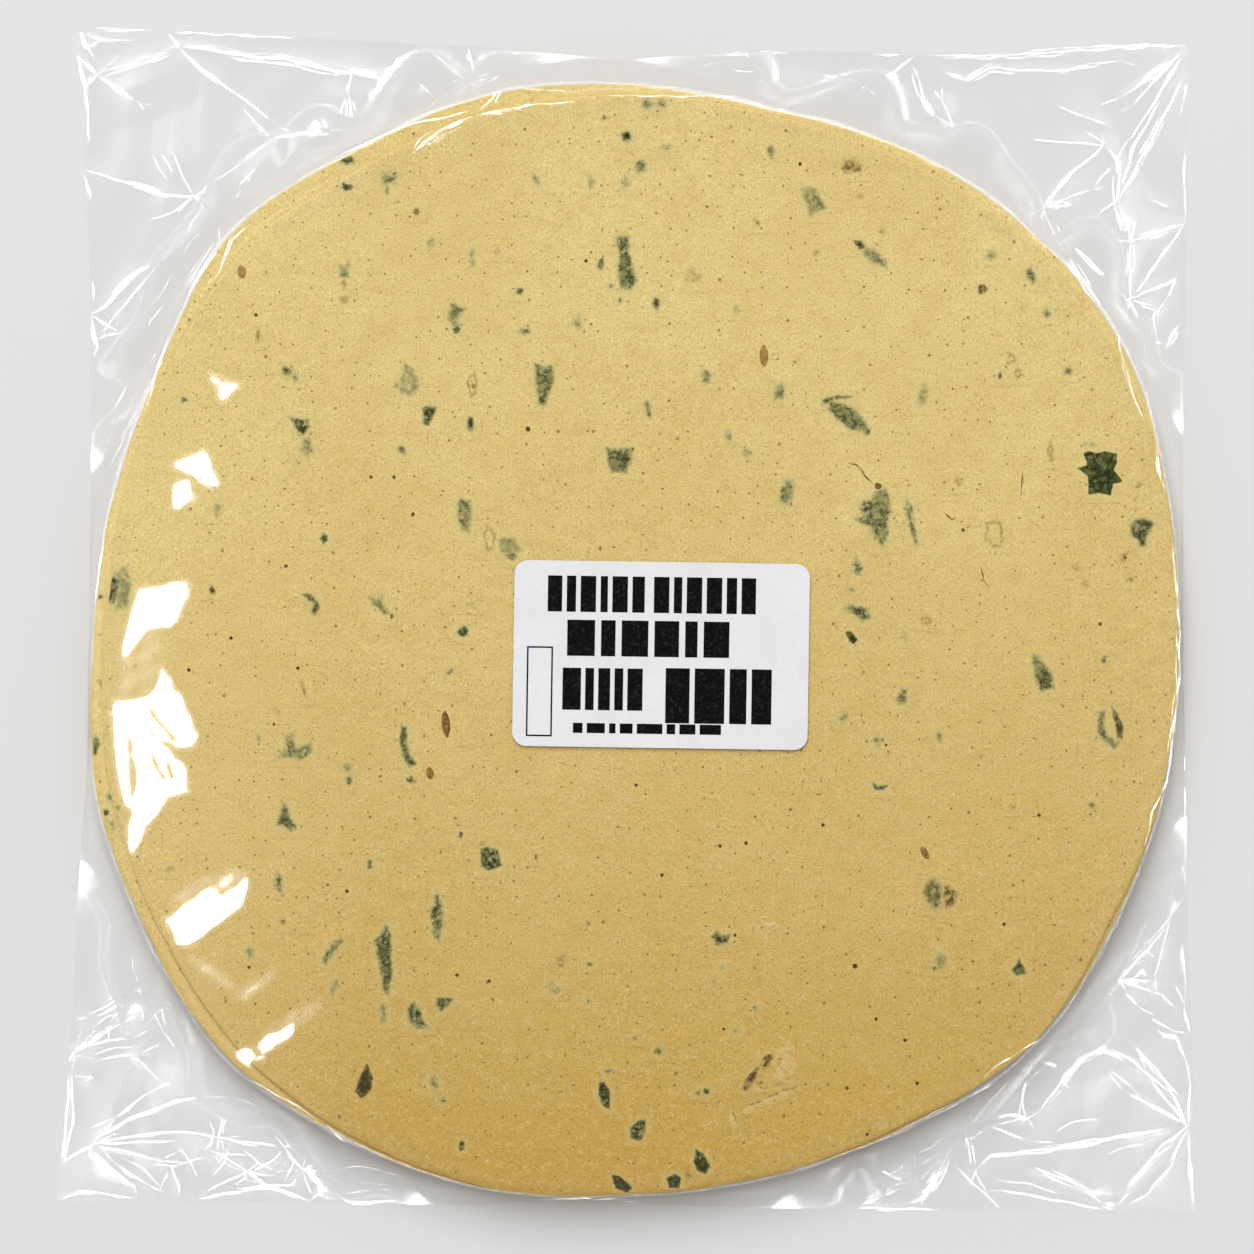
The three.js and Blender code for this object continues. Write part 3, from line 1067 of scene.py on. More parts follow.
# Flecks with a shape of their own: cover, warmth, then the corners in pixels.
DRAWN_FLECKS = (
    (0.0, 0.0, 1083,453, 1090,451, 1096,453, 1104,451, 1117,453, 1117,462, 1114,470, 1123,482, 1113,484, 1111,496,
     1099,493, 1088,495, 1088,477, 1077,468, 1087,465), (0.35, 0.0, 1130,525, 1134,520, 1144,518, 1154,523, 1151,531,
     1146,538, 1147,546, 1140,548, 1137,540, 1130,535), (0.4, 0.0, 616,236, 629,236, 629,250, 632,262, 637,280,
     631,291, 620,289, 617,270, 619,255), (0.45, 0.0, 606,447, 618,449, 633,447, 631,462, 626,473, 611,472, 606,460),
    (0.4, 0.0, 828,401, 840,402, 852,408, 862,417, 871,430, 868,436, 858,431, 850,430, 838,420, 829,411),
    (0.3, 0.0, 822,400, 836,395, 853,396, 846,399, 834,400, 824,404), (0.5, 0.0, 874,491, 886,489, 890,501, 891,512,
     887,525, 889,532, 883,547, 875,539, 871,528, 854,519, 864,515, 859,508, 862,501, 871,500),
    (0.6, 0.0, 907,498, 911,508, 914,522, 918,536, 918,548, 912,538, 908,522, 904,508),
    (0.25, 0.0, 480,848, 487,846, 498,850, 502,866, 488,871, 481,866), (0.45, 0.0, 437,891, 441,900, 444,917, 439,942,
     433,936, 430,915, 434,900), (0.4, 0.0, 386,923, 391,933, 392,956, 393,974, 388,997, 383,990, 380,972, 377,956,
     374,941, 381,932), (0.4, 0.0, 401,724, 407,728, 407,746, 412,757, 417,764, 410,768, 402,758, 399,742),
    (0.3, 0.0, 289,417, 300,419, 309,419, 310,427, 304,435, 298,432), (0.65, 0.0, 303,437, 311,441, 313,452, 307,457,
     300,450), (0.35, 0.1, 98,601, 97,590, 104,580, 114,576, 122,580, 121,594, 114,604, 104,600),
    (0.85, 0.0, 116,572, 127,566, 132,584, 128,606, 116,610, 114,592), (0.4, 0.0, 535,364, 544,366, 552,365, 555,378,
     550,392, 546,406, 539,405, 536,390), (0.45, 0.0, 1032,656, 1039,655, 1045,665, 1052,673, 1054,688, 1040,692,
     1036,681, 1033,668), (0.4, 0.0, 1099,713, 1105,710, 1104,722, 1106,734, 1116,742, 1120,740, 1115,749, 1104,742,
     1097,732), (0.2, 0.6, 1111,706, 1117,712, 1123,724, 1123,738, 1117,738, 1114,722),
    (0.1, 0.0, 599,1082, 604,1082, 610,1090, 610,1110, 603,1106, 598,1095), (0.2, 0.0, 647,1118, 646,1128, 641,1142,
     631,1139, 630,1128, 637,1121), (0.0, 0.6, 611,1174, 621,1176, 633,1188, 627,1193, 615,1188),
    (0.05, 0.0, 666,1178, 674,1173, 682,1178, 679,1188, 669,1188), (0.1, 0.0, 696,1149, 704,1153, 710,1166, 706,1174,
     698,1172, 693,1161), (0.3, 0.0, 437,997, 446,997, 456,999, 446,1007, 441,1012, 436,1005),
    (0.45, 0.0, 414,1002, 421,1009, 424,1020, 431,1029, 417,1029, 408,1020, 407,1009),
    (0.55, 0.0, 276,758, 286,749, 284,736, 293,733, 297,748, 311,743, 312,752, 305,760, 290,758),
    (0.65, 0.0, 785,478, 794,480, 793,498, 786,508, 779,500, 782,489), (0.85, 0.0, 404,362, 414,368, 420,386, 410,397,
     399,390, 401,374), (0.65, 0.0, 862,246, 874,250, 886,260, 887,268, 874,264, 864,256),
    (0.15, 0.0, 853,240, 862,240, 866,248, 859,250), (0.55, 0.1, 801,187, 815,188, 820,197, 826,208, 810,216,
     806,204), (0.6, 0.0, 458,498, 470,500, 473,514, 469,534, 461,530, 457,514), (0.35, 0.0, 301,594, 308,593,
     316,597, 320,607, 316,616, 311,613, 313,604, 307,599), (0.5, 0.0, 369,597, 376,599, 383,595, 383,603, 390,612,
     386,616, 377,608, 372,605), (0.4, 0.0, 282,801, 287,806, 291,818, 297,827, 291,831, 284,826, 276,826, 280,814),
    (0.5, 0.0, 277,870, 282,878, 283,893, 279,893, 274,884), (0.5, 0.0, 341,938, 343,942, 334,954, 326,964, 321,963,
     325,952, 335,941), (0.1, 0.75, 367,1062, 373,1078, 371,1091, 361,1099, 355,1091, 359,1078),
    (0.2, 0.0, 1019,958, 1024,967, 1027,974, 1016,976, 1012,970), (0.5, 0.15, 925,884, 934,877, 941,884, 942,896,
     944,908, 934,909, 926,902, 922,893), (0.35, 0.85, 944,884, 951,885, 958,892, 956,902, 950,911, 944,909, 942,896),
    (0.45, 0.0, 843,608, 852,605, 866,608, 871,618, 863,622, 855,615), (0.05, 0.0, 845,632, 851,631, 858,640, 854,645,
     849,641), (0.6, 0.0, 851,565, 856,557, 864,567, 860,576, 854,572), (0.5, 0.1, 908,689, 902,688, 896,698, 898,706,
     906,702), (0.35, 0.0, 711,936, 717,930, 721,936, 730,935, 728,944, 717,945),
    (0.2, 0.0, 872,783, 878,785, 888,785, 884,791, 874,789), (0.25, 0.0, 423,407, 437,407, 434,415, 428,426, 423,423),
    # Torn flap: the first two rows are painted shade, a dark hollow and the shadow under its ridge; the third is a
    # brown stub.
    (0.27, 0.95, 742,1090, 744,1079, 751,1070, 760,1065, 767,1056, 773,1057, 769,1067, 759,1074, 752,1083, 747,1092),
    (0.42, 0.95, 746,1103, 764,1097, 780,1088, 797,1084, 797,1088, 782,1094, 766,1102, 750,1107),
    (0.4, 0.95, 731,1112, 734,1110, 738,1122, 740,1134, 736,1133, 733,1122),
)

# Other flecks: centre, size, turn and how far the dough covers each.
PLAIN_FLECKS = (
    (656,303, 10,14, 0, 0.35), (648,411, 9,20, -15, 0.45), (779,391, 14,19, 20, 0.45), (737,310, 5,10, 0, 0.8),
    (707,377, 10,14, 10, 0.7), (728,435, 8,9, 0, 0.8), (747,453, 8,9, 20, 0.8), (455,314, 18,28, 10, 0.6),
    (457,330, 9,8, 0, 0.2), (510,548, 18,26, -40, 0.6), (334,987, 6,18, 15, 0.55), (384,1014, 8,24, 0, 0.55),
    (348,767, 8,10, 0, 0.7), (349,780, 6,11, 10, 0.3), (250,952, 9,13, 10, 0.7), (369,865, 7,11, 0, 0.25),
    (461,834, 6,9, 0, 0.2), (411,780, 10,8, 0, 0.3), (647,105, 11,12, 0, 0.45), (662,104, 8,10, 0, 0.5),
    (626,136, 12,13, 0, 0.3), (641,167, 15,14, 30, 0.45), (624,183, 10,9, 0, 0.6), (667,148, 9,8, 0, 0.45),
    (771,152, 9,13, 0, 0.4), (389,178, 17,17, 20, 0.7), (394,174, 6,6, 0, 0.15), (387,190, 4,11, 0, 0.5),
    (347,160, 18,11, 0, 0.3), (346,187, 12,9, 0, 0.1), (346,271, 13,17, 20, 0.6), (287,370, 10,14, -30, 0.45),
    (295,378, 8,4, 30, 0.3), (298,462, 8,3, 50, 0.3), (412,378, 5,13, 0, 0.2), (577,323, 13,15, 0, 0.75),
    (1031,276, 9,23, -10, 0.45), (1047,313, 10,9, 0, 0.45), (1000,376, 4,8, 0, 0.1), (1068,371, 8,8, 0, 0.35),
    (851,590, 7,5, 0, 0.8), (940,961, 16,18, 10, 0.65), (935,968, 6,5, 0, 0.3), (554,989, 14,14, 0, 0.85),
    (588,1001, 7,5, 0, 0.6), (462,1146, 7,13, 0, 0.2), (434,1083, 9,20, -20, 0.75), (443,1100, 6,6, 0, 0.3),
    (96,745, 9,21, 0, 0.25), (111,797, 10,9, 0, 0.5), (106,813, 6,9, 10, 0.1), (113,825, 7,9, 0, 0.7),
    (118,809, 5,7, 0, 0.5), (536,179, 5,16, -30, 0.5), (591,181, 8,13, 0, 0.75), (520,291, 7,7, 0, 0.25),
    (431,243, 8,12, 0, 0.85), (472,257, 4,18, 0, 0.7), (184,400, 7,6, 0, 0.2), (324,538, 9,10, 0, 0.15),
    (402,450, 7,11, -20, 0.3), (217,509, 9,14, 0, 0.6), (259,738, 7,8, 0, 0.75), (450,672, 8,4, -35, 0.2),
    (590,964, 6,5, 0, 0.3), (736,1031, 8,7, 0, 0.65), (755,1008, 9,5, 30, 0.35), (697,1093, 7,6, 0, 0.35),
    (706,1091, 7,7, 0, 0.3), (608,1071, 8,4, -20, 0.45), (722,967, 7,5, 0, 0.6), (525,331, 13,9, 0, 0.7),
    (844,718, 9,13, 20, 0.75), (878,742, 7,13, -20, 0.7), (939,737, 7,12, -15, 0.5), (905,635, 4,11, -15, 0.7),
    (601,264, 8,14, 0, 0.25), (611,286, 5,6, 0, 0.4), (620,301, 5,5, 0, 0.4), (923,397, 10,26, 10, 0.7),
    (1090,444, 12,5, 15, 0.7), (853,427, 6,5, 0, 0.05), (880,502, 7,6, 0, 0.0), (991,255, 11,11, 0, 0.75),
    (466,527, 7,11, 0, 0.2), (470,424, 9,17, 0, 0.3), (1092,805, 8,7, -40, 0.4), (397,386, 5,6, 0, 0.5),
    (883,740, 4,4, 0, 0.5), (403,752, 3,22, -8, 0.0), (463,632, 13,13, 0, 0.2), (783,489, 5,10, 10, 0.4),
    (286,750, 10,6, 0, 0.6), (658,1051, 9,8, 0, 0.35), (911,508, 4,9, -15, 0.3), (1104,660, 5,9, 0, 0.35),
    (436,931, 6,10, 0, 0.2), (425,1026, 9,4, 10, 0.1), (100,597, 7,7, 0, 0.2),
)

# Browner flecks: centre, size, turn, cover and how brown.
# Those beside curls at (304,690), (753,931) and (1095,930) are painted shadow; those in the torn flap near (760,1080)
# are partly its brown, partly painted shade.
BROWN_FLECKS = (
    (850,166, 25,23, 0, 0.45, 0.85), (983,289, 12,11, 0, 0.2, 0.9), (417,211, 10,8, 0, 0.3, 0.9),
    (344,284, 6,11, 0, 0.5, 0.8), (258,337, 6,15, 0, 0.4, 0.95), (563,957, 11,13, 20, 0.7, 0.9),
    (561,965, 7,5, 0, 0.2, 0.8), (692,275, 20,18, 0, 0.85, 0.8), (756,222, 10,5, 40, 0.5, 0.9),
    (816,253, 8,7, 0, 0.4, 0.9), (861,197, 9,4, 30, 0.5, 0.9), (497,252, 9,6, 0, 0.85, 0.9),
    (883,232, 6,8, 0, 0.4, 0.95), (1124,558, 10,10, 0, 0.35, 0.95), (1130,579, 8,7, 0, 0.35, 0.95),
    (1135,499, 7,7, 0, 0.7, 0.95), (1154,453, 8,8, 0, 0.5, 0.95), (344,300, 12,12, 0, 0.85, 0.8),
    (632,449, 6,5, 0, 0.1, 0.9), (213,590, 8,9, 0, 0.2, 0.9), (392,616, 5,6, 0, 0.1, 0.9),
    (470,604, 9,6, 0, 0.8, 0.8), (284,922, 8,8, -40, 0.4, 0.7), (753,931, 4,9, 0, 0.4, 0.9),
    (766,1058, 13,6, -25, 0.2, 0.9), (747,1083, 8,7, 0, 0.15, 0.9), (760,1083, 15,6, 10, 0.4, 0.9),
    (762,1066, 24,10, -45, 0.8, 0.9), (752,1096, 14,9, 0, 0.85, 0.9), (780,1084, 18,7, 10, 0.8, 0.9),
    (304,690, 4,20, -15, 0.6, 0.9), (714,982, 7,9, 0, 0.8, 0.95), (731,1001, 16,8, 0, 0.85, 0.95),
    (278,713, 7,9, 0, 0.85, 0.95), (1077,568, 12,8, 0, 0.85, 0.9), (1085,583, 10,6, 20, 0.7, 0.9),
    (1077,753, 6,8, 0, 0.7, 0.9), (980,757, 9,7, 0, 0.8, 0.9), (604,118, 5,5, 0, 0.2, 0.8),
    (536,857, 4,6, 0, 0.2, 0.8), (588,924, 4,6, 0, 0.3, 0.95), (618,827, 6,3, 10, 0.2, 0.8),
    (636,1038, 7,3, 0, 0.3, 0.8), (100,683, 10,4, 60, 0.4, 0.8), (170,869, 9,7, 0, 0.85, 0.5),
    (791,504, 4,6, 0, 0.2, 0.7), (1095,930, 6,14, 20, 0.6, 0.95), (469,1021, 7,3, -30, 0.4, 0.9),
    (839,575, 4,5, 0, 0.2, 0.7), (873,532, 9,10, 0, 0.8, 0.6), (952,899, 4,9, 0, 0.0, 0.8),
    (1118,728, 3,10, 0, 0.0, 0.8),
)

# Thin rings of husk: centre, size and turn.
HUSK_RINGS = (
    (472,384, 13,23, 0), (995,533, 22,27, 0), (489,538, 12,31, 0), (1011,358, 9,14, 10), (1018,374, 9,9, 0),
    (1138,485, 7,7, 0), (927,620, 11,9, 0), (959,482, 10,10, 0), (1012,807, 7,6, 0), (483,843, 6,6, 0),
    (1051,452, 7,20, 0),
)


@dataclass
class ChilliFlakes:
    """Every fleck in the uppermost round, each on its own thin patch of that round's face."""

    shape: StackShape
    cell: float = 0.2
    halo: float = 1.5
    lift: float = 0.025
    sink: float = 0.12
    relief: float = 0.07

    def flecks(self) -> list[Fleck]:
        """Lists all the flecks of the photograph.

        Returns:
            The flecks, those with drawn corners first.
        """
        drawn = [Fleck((0, 0), cover=row[0], warmth=row[1], corners=row[2:]) for row in DRAWN_FLECKS]
        plain = [Fleck((x, y), (w, h), turn, cover) for x, y, w, h, turn, cover in PLAIN_FLECKS]
        brown = [Fleck((x, y), (w, h), turn, cover, warmth) for x, y, w, h, turn, cover, warmth in BROWN_FLECKS]
        rings = [Fleck((x, y), (w, h), turn, 0.45, 0.95, 1.0) for x, y, w, h, turn in HUSK_RINGS]
        return [*drawn, *plain, *brown, *rings]

    def on_top(self, outline: Array) -> bool:
        """Tells whether a fleck lies on the uppermost round, not on the one below it.

        Args:
            outline: its corners in millimetres.

        Returns:
            Whether it does.
        """
        middle = outline.mean(axis=0)
        radius, angle = self.shape.polar(middle[:1], middle[1:])
        return bool(radius[0] < self.shape.round_reach(self.shape.count - 1, angle)[0] + 0.1)

    def build(self) -> list[Piece]:
        """Builds the large flecks and the small ones as a piece each.

        Returns:
            Both pieces.
        """
        material = ChilliFinish().material()
        drawn = [(fleck, fleck.outline(500 + index)) for index, fleck in enumerate(self.flecks())]
        large = len(DRAWN_FLECKS)
        return [
            self.piece("chilli_flakes", drawn, range(large), material),
            self.piece("chilli_specks", drawn, range(large, len(drawn)), material),
        ]

    def piece(self, name: str, drawn: list[tuple[Fleck, Array]], chosen: range, material: Material) -> Piece:
        """Builds some of the patches as one piece.

        Args:
            name: the piece's name.
            drawn: all flecks with their corners.
            chosen: the numbers of those to build.
            material: their finish.

        Returns:
            The piece.
        """
        bm = bmesh.new()
        layers = {mark: bm.verts.layers.float.new(mark) for mark in FLECK_MARKS}
        for index in chosen:
            outline = drawn[index][1]
            low, high = outline.min(axis=0) - 2.0 * self.halo, outline.max(axis=0) + 2.0 * self.halo
            on_top = self.on_top(outline)
            near = [
                pair for pair in drawn
                if (pair[1].max(axis=0) > low).all() and (pair[1].min(axis=0) < high).all()
                and self.on_top(pair[1]) == on_top
            ]
            self.patch(bm, index, outline, near, layers)
        bmesh.ops.recalc_face_normals(bm, faces=bm.faces)
        return finish_piece(bm, name, material, Slot.CHILLI)

    def patch(self, bm: Mesh, index: int, outline: Array,
              near: list[tuple[Fleck, Array]], layers: dict[str, object]) -> None:
        """Adds one fleck's patch, with whatever of its neighbours lies on it.

        Args:
            bm: the mesh of all patches.
            index: the fleck's number.
            outline: its corners in millimetres.
            near: the flecks that reach the patch, itself among them, with their corners.
            layers: the vertex layers that the finish reads.
        """
        low = outline.min(axis=0) - self.halo
        high = outline.max(axis=0) + self.halo
        counts = np.maximum(3, ((high - low) / self.cell).astype(int))
        made = bmesh.ops.create_grid(bm, x_segments=int(counts[0]), y_segments=int(counts[1]), size=1.0)
        verts = made["verts"]
        square = places(verts)
        x = low[0] + (square[:, 0] + 1.0) / 2.0 * (high[0] - low[0])
        y = low[1] + (square[:, 1] + 1.0) / 2.0 * (high[1] - low[1])
        below = not self.on_top(outline)
        radius, angle = self.shape.polar(x, y)
        edge = self.shape.round_reach(self.shape.count - (2 if below else 1), angle) - 0.15
        kept = np.minimum(radius, edge)
        x, y = STACK_CENTRE[0] + kept * np.cos(angle), STACK_CENTRE[1] + kept * np.sin(angle)
        deepest = np.full(x.shape, -2.0)
        cover, warmth, hollow = np.full(x.shape, 0.6), np.zeros(x.shape), np.zeros(x.shape)
        for fleck, ring in near:
            depth = np.clip(signed_depth(x, y, ring), -2.0, 2.0)
            wins = depth > deepest
            deepest = np.where(wins, depth, deepest)
            cover = np.where(wins, fleck.cover, cover)
            warmth = np.where(wins, fleck.warmth, warmth)
            hollow = np.where(wins, fleck.hollow, hollow)
        z = self.shape.top(x, y) - (self.shape.pitch if below else 0.0) + self.lift + index * 0.0003
        z = z + self.relief * (1.0 - cover) * smooth(deepest / 0.35)
        rim = np.maximum(np.abs(square[:, 0]), np.abs(square[:, 1])) > 1.0 - 1e-6
        z = z - np.where(rim, self.sink, 0.0)
        put(verts, x, y, z)
        for layer, values in zip(layers.values(), (deepest, cover, warmth, hollow)):
            mark(verts, layer, values)


@dataclass(frozen=True)
class Ridge:
    """One low fold along a line, tapered and a little uneven."""

    line: Array
    half_width: float
    rise: float
    seed: int
    step: float = 0.5
    profile: tuple[Pair, ...] = ((-1.0, -0.15), (-0.3, 0.8), (0.0, 1.0), (0.3, 0.8), (1.0, -0.15))
    shift: float = 0.0
    part: Pair = (0.0, 1.0)
    flutter: float = 0.0
    fade: tuple[float, ...] = (0.75, 0.3, 0.0, 0.1, 0.5)

    def add(self, bm: Mesh, ground: Callable[[Array, Array], Array]) -> None:
        """Adds the fold as a strip, to be closed by close_strips.

        Args:
            bm: the mesh it goes into.
            ground: gives the height that it stands on.
        """
        draw = random.Random(self.seed)
        lengths = np.hypot(*np.diff(self.line, axis=0).T)
        walked = np.concatenate([[0.0], np.cumsum(lengths)])
        whole = walked[-1]
        made = bmesh.ops.create_grid(bm, x_segments=max(4, int(whole / self.step)), y_segments=4, size=1.0)
        square = places(made["verts"])
        share = (square[:, 0] + 1.0) / 2.0
        row = np.rint((square[:, 1] + 1.0) * 2.0).astype(int)
        whole *= self.part[1] - self.part[0]
        place_share = self.part[0] + share * (self.part[1] - self.part[0])
        at = place_share * walked[-1]
        x, y = (np.interp(at, walked, self.line[:, axis]) for axis in (0, 1))
        ahead, behind = np.minimum(at + 0.35, walked[-1]), np.maximum(at - 0.35, 0.0)
        run_x, run_y = (
            np.interp(ahead, walked, self.line[:, axis]) - np.interp(behind, walked, self.line[:, axis])
            for axis in (0, 1)
        )
        norm = np.maximum(np.hypot(run_x, run_y), 1e-6)
        phase = draw.uniform(0.0, math.tau)
        uneven = 0.8 + 0.2 * np.sin(at * 1.7 + phase) + 0.12 * np.sin(at * 4.3 + 2.0 * phase)
        taper = 0.12 + 1.6 * np.minimum(share, 1.0 - share) / min(0.5, 4.0 / max(whole, 4.0))
        size = uneven * np.clip(taper, 0.12, 1.0)
        profile = np.asarray(self.profile)
        side = profile[row, 0] * self.half_width * size + 0.08 * np.sin(at * 0.9 + phase)
        side = side + self.shift * np.sqrt(np.clip(4.0 * place_share * (1.0 - place_share), 0.0, 1.0))
        px, py = kept_inside(x - run_y / norm * side, y + run_x / norm * side)
        sunk = 1.0 - self.flutter * (0.5 + 0.5 * np.sin(at * 1.1 + 5.0 * phase)) ** 1.5
        z = ground(px, py) + profile[row, 1] * self.rise * size * sunk
        put(made["verts"], px, py, z)
        faded = bm.verts.layers.float.get("dull")
        if faded:
            faint = np.asarray(self.fade)[row] + 0.35 * (0.5 + 0.5 * np.sin(at * 0.9 + 3.0 * phase)) ** 2
            faint = np.clip(faint + 0.5 * (1.0 - np.clip(taper, 0.0, 1.0)), 0.0, 0.9)
            mark(made["verts"], faded, faint)


def close_strips(bm: Mesh, depth: float = 0.03) -> None:
    """Closes open strips by a lower copy of each and walls between the two.

    Args:
        bm: a mesh that holds nothing but open strips.
        depth: how far the lower copies lie under the strips, in millimetres.
    """
    geom = bmesh.ops.extrude_face_region(bm, geom=list(bm.faces))["geom"]
    low = {item for item in geom if isinstance(item, bmesh.types.BMVert)}
    bmesh.ops.translate(bm, vec=(0.0, 0.0, -depth), verts=list(low))
    for face in bm.faces:
        if 0 < sum(vert in low for vert in face.verts) < len(face.verts):
            for edge in face.edges:
                edge.smooth = False


# Curls and torn flaps of dough: width seen, then the line, in pixels.
CURLS = (
    (4, 339,315, 352,310), (4, 352,310, 358,341, 344,350), (3, 340,318, 344,347), (3, 622,304, 622,316),
    (3, 1036,383, 1037,394), (4, 303,675, 309,686, 313,696, 314,708), (3, 299,676, 306,680), (4, 757,918, 757,938),
    (3, 762,936, 773,931, 781,922), (3, 759,919, 770,918), (3, 690,276, 694,287),
    (3, 411,961, 407,970, 413,976, 421,977), (3, 984,571, 986,581, 991,589), (3, 1023,479, 1023,497),
    (2.5, 1050,843, 1065,854, 1081,865), (3, 1058,699, 1063,708, 1071,711), (6, 740,1111, 750,1110, 760,1104,
     772,1097, 784,1093, 797,1092), (5, 731,1109, 734,1121, 738,1134), (5, 772,1046, 779,1052, 776,1060),
    (5, 784,1044, 789,1054, 786,1064), (5, 792,1056, 796,1066, 792,1076), (4, 778,1064, 786,1070, 796,1074),
    (5, 770,1072, 780,1080, 792,1084), (4, 744,1084, 748,1074, 757,1066, 766,1058), (4, 752,1094, 762,1090, 772,1092),
    (5, 1088,915, 1094,930, 1103,943), (3, 1093,915, 1100,926, 1105,936), (3, 899,1097, 901,1111),
    (3, 404,882, 406,894), (3, 765,931, 768,945), (2.5, 850,464, 862,472, 874,483), (3, 284,339, 284,353),
    (3, 495,372, 498,386), (3, 415,968, 411,962), (2.5, 721,982, 727,991), (3, 727,1000, 742,1003),
    (2.5, 656,1118, 664,1126), (2.5, 700,1128, 711,1124), (3, 857,1109, 862,1122), (2.5, 978,872, 983,879),
    (2.5, 433,1108, 444,1100), (3, 1089,702, 1096,706), (12, 776,1046, 786,1058, 792,1074),
    (9, 768,1058, 778,1068, 784,1082), (7, 786,1040, 795,1052), (11, 738,1114, 752,1108, 770,1100, 796,1090),
    (8, 730,1108, 734,1124, 738,1134), (6, 757,919, 768,926, 776,922), (7, 304,676, 310,688, 313,704),
)


@dataclass
class DoughCurls:
    """Small curls of dough that stand on the uppermost round."""

    shape: StackShape
    material: Material
    steepness: float = 0.85
    tallest: float = 0.19
    paleness: float = 0.36

    def build(self) -> Piece:
        """Builds the curls as one piece.

        Returns:
            The piece.
        """
        bm = bmesh.new()
        rolled = bm.verts.layers.float.new("rolled")
        for index, (width, *line) in enumerate(CURLS):
            half = width * 0.6 / PIXELS_PER_MM
            rise = min(half * self.steepness, self.tallest)
            Ridge(to_mm(line), half, rise, 300 + index, 0.25).add(bm, self.shape.top)
        close_strips(bm)
        # Curls are drawn paler than the dough: partly their own colour, partly a painted highlight.
        for vert in bm.verts:
            vert[rolled] = self.paleness
        bmesh.ops.recalc_face_normals(bm, faces=bm.faces)
        return finish_piece(bm, "dough_curls", self.material, Slot.PAPAD)


@dataclass(frozen=True)
class Seed:
    """One seed, by pixels of the photograph."""

    centre: Pair
    length: float
    width: float
    turn: float
    pale: float = 0.1


SEEDS = (
    Seed((764, 356), 24, 9, 88, 0.7), Seed((446, 724), 30, 9, 84, 0.36), Seed((430, 773), 14, 8, 80, 0.5),
    Seed((925, 853), 16, 7, 60, 0.45), Seed((242, 272), 15, 9, 80, 0.75), Seed((473, 386), 13, 7, 80, 0.8),
    Seed((983, 289), 9, 9, 0, 0.6), Seed((878, 486), 9, 7, 20, 0.3),
    Seed((528, 429), 6, 5, 60), Seed((855, 966), 6, 5, 20),
) + tuple(Seed(spot, 4.0, 3.7, 0) for spot in (
    (636, 785), (720, 846), (746, 843), (662, 875), (489, 981), (457, 975), (1004, 924), (905, 1040), (876, 1019),
    (867, 1134), (917, 1083), (1039, 815), (1100, 624), (963, 530), (886, 745), (724, 1029), (249, 967), (347, 891),
    (298, 668), (189, 670), (371, 477), (394, 477), (274, 724), (286, 566), (586, 261), (256, 315), (800, 164),
    (735, 935), (823, 825), (231, 638), (413, 514), (847, 1088),
))


# Thin dry threads on the dough: width seen, then the line, in pixels.
THREADS = (
    (3.2, 848,464, 856,465, 862,471, 868,478, 875,486), (2.2, 1023,471, 1022,483, 1020,497),
    (2.2, 1057,697, 1064,709, 1073,712), (2.0, 980,566, 984,581, 990,588), (2.4, 1131,548, 1125,556, 1124,562),
    (2.0, 944,512, 952,520, 957,517),
)


@dataclass
class Seeds:
    """Spice seeds and threads half sunk in the uppermost round."""

    shape: StackShape
    ribs: int = 7
    rib_depth: float = 0.07
    flatness: float = 0.6
    proud: float = 0.16
    thread_tone: float = 0.55

    def build(self) -> Piece:
        """Builds the seeds as one piece.

        Returns:
            The piece.
        """
        bm = bmesh.new()
        pale = bm.verts.layers.float.new("pale")
        for index, (width, *line) in enumerate(THREADS):
            half = width * 0.5 / PIXELS_PER_MM
            Ridge(to_mm(line), half, half * 0.55, 700 + index, 0.25).add(bm, self.shape.top)
        close_strips(bm)
        for vert in bm.verts:
            vert[pale] = self.thread_tone
        for seed in SEEDS:
            self.seed(bm, seed)
        bmesh.ops.recalc_face_normals(bm, faces=bm.faces)
        return finish_piece(bm, "spice_seeds", SeedFinish().material(), Slot.SEED)

    def seed(self, bm: Mesh, seed: Seed) -> None:
        """Adds one ribbed seed with pointed ends.

        Args:
            bm: the mesh of all seeds.
            seed: its place and size.
        """
        made = bmesh.ops.create_uvsphere(bm, u_segments=28, v_segments=16, radius=1.0)
        centre = to_mm(seed.centre)[0]
        ground = float(self.shape.top(centre[0], centre[1]))
        tilt = -math.radians(seed.turn)
        half_length = seed.length / 2.0 / PIXELS_PER_MM
        half_width = seed.width / 2.0 / PIXELS_PER_MM
        half_height = min(half_width * self.flatness, 0.22)
        pale = bm.verts.layers.float["pale"]
        for vert in made["verts"]:
            around = math.atan2(vert.co.y, vert.co.x)
            rib = 1.0 + self.rib_depth * math.cos(self.ribs * around)
            point = (1.0 - abs(vert.co.z) ** 3 * 0.45) * rib
            along = vert.co.z * half_length
            across = vert.co.x * half_width * point
            height = vert.co.y * half_height * point
            vert[pale] = seed.pale
            vert.co = (
                centre[0] + along * math.cos(tilt) - across * math.sin(tilt),
                centre[1] + along * math.sin(tilt) + across * math.cos(tilt),
                ground + min(self.proud, 0.75 * half_height) - half_height + height,
            )


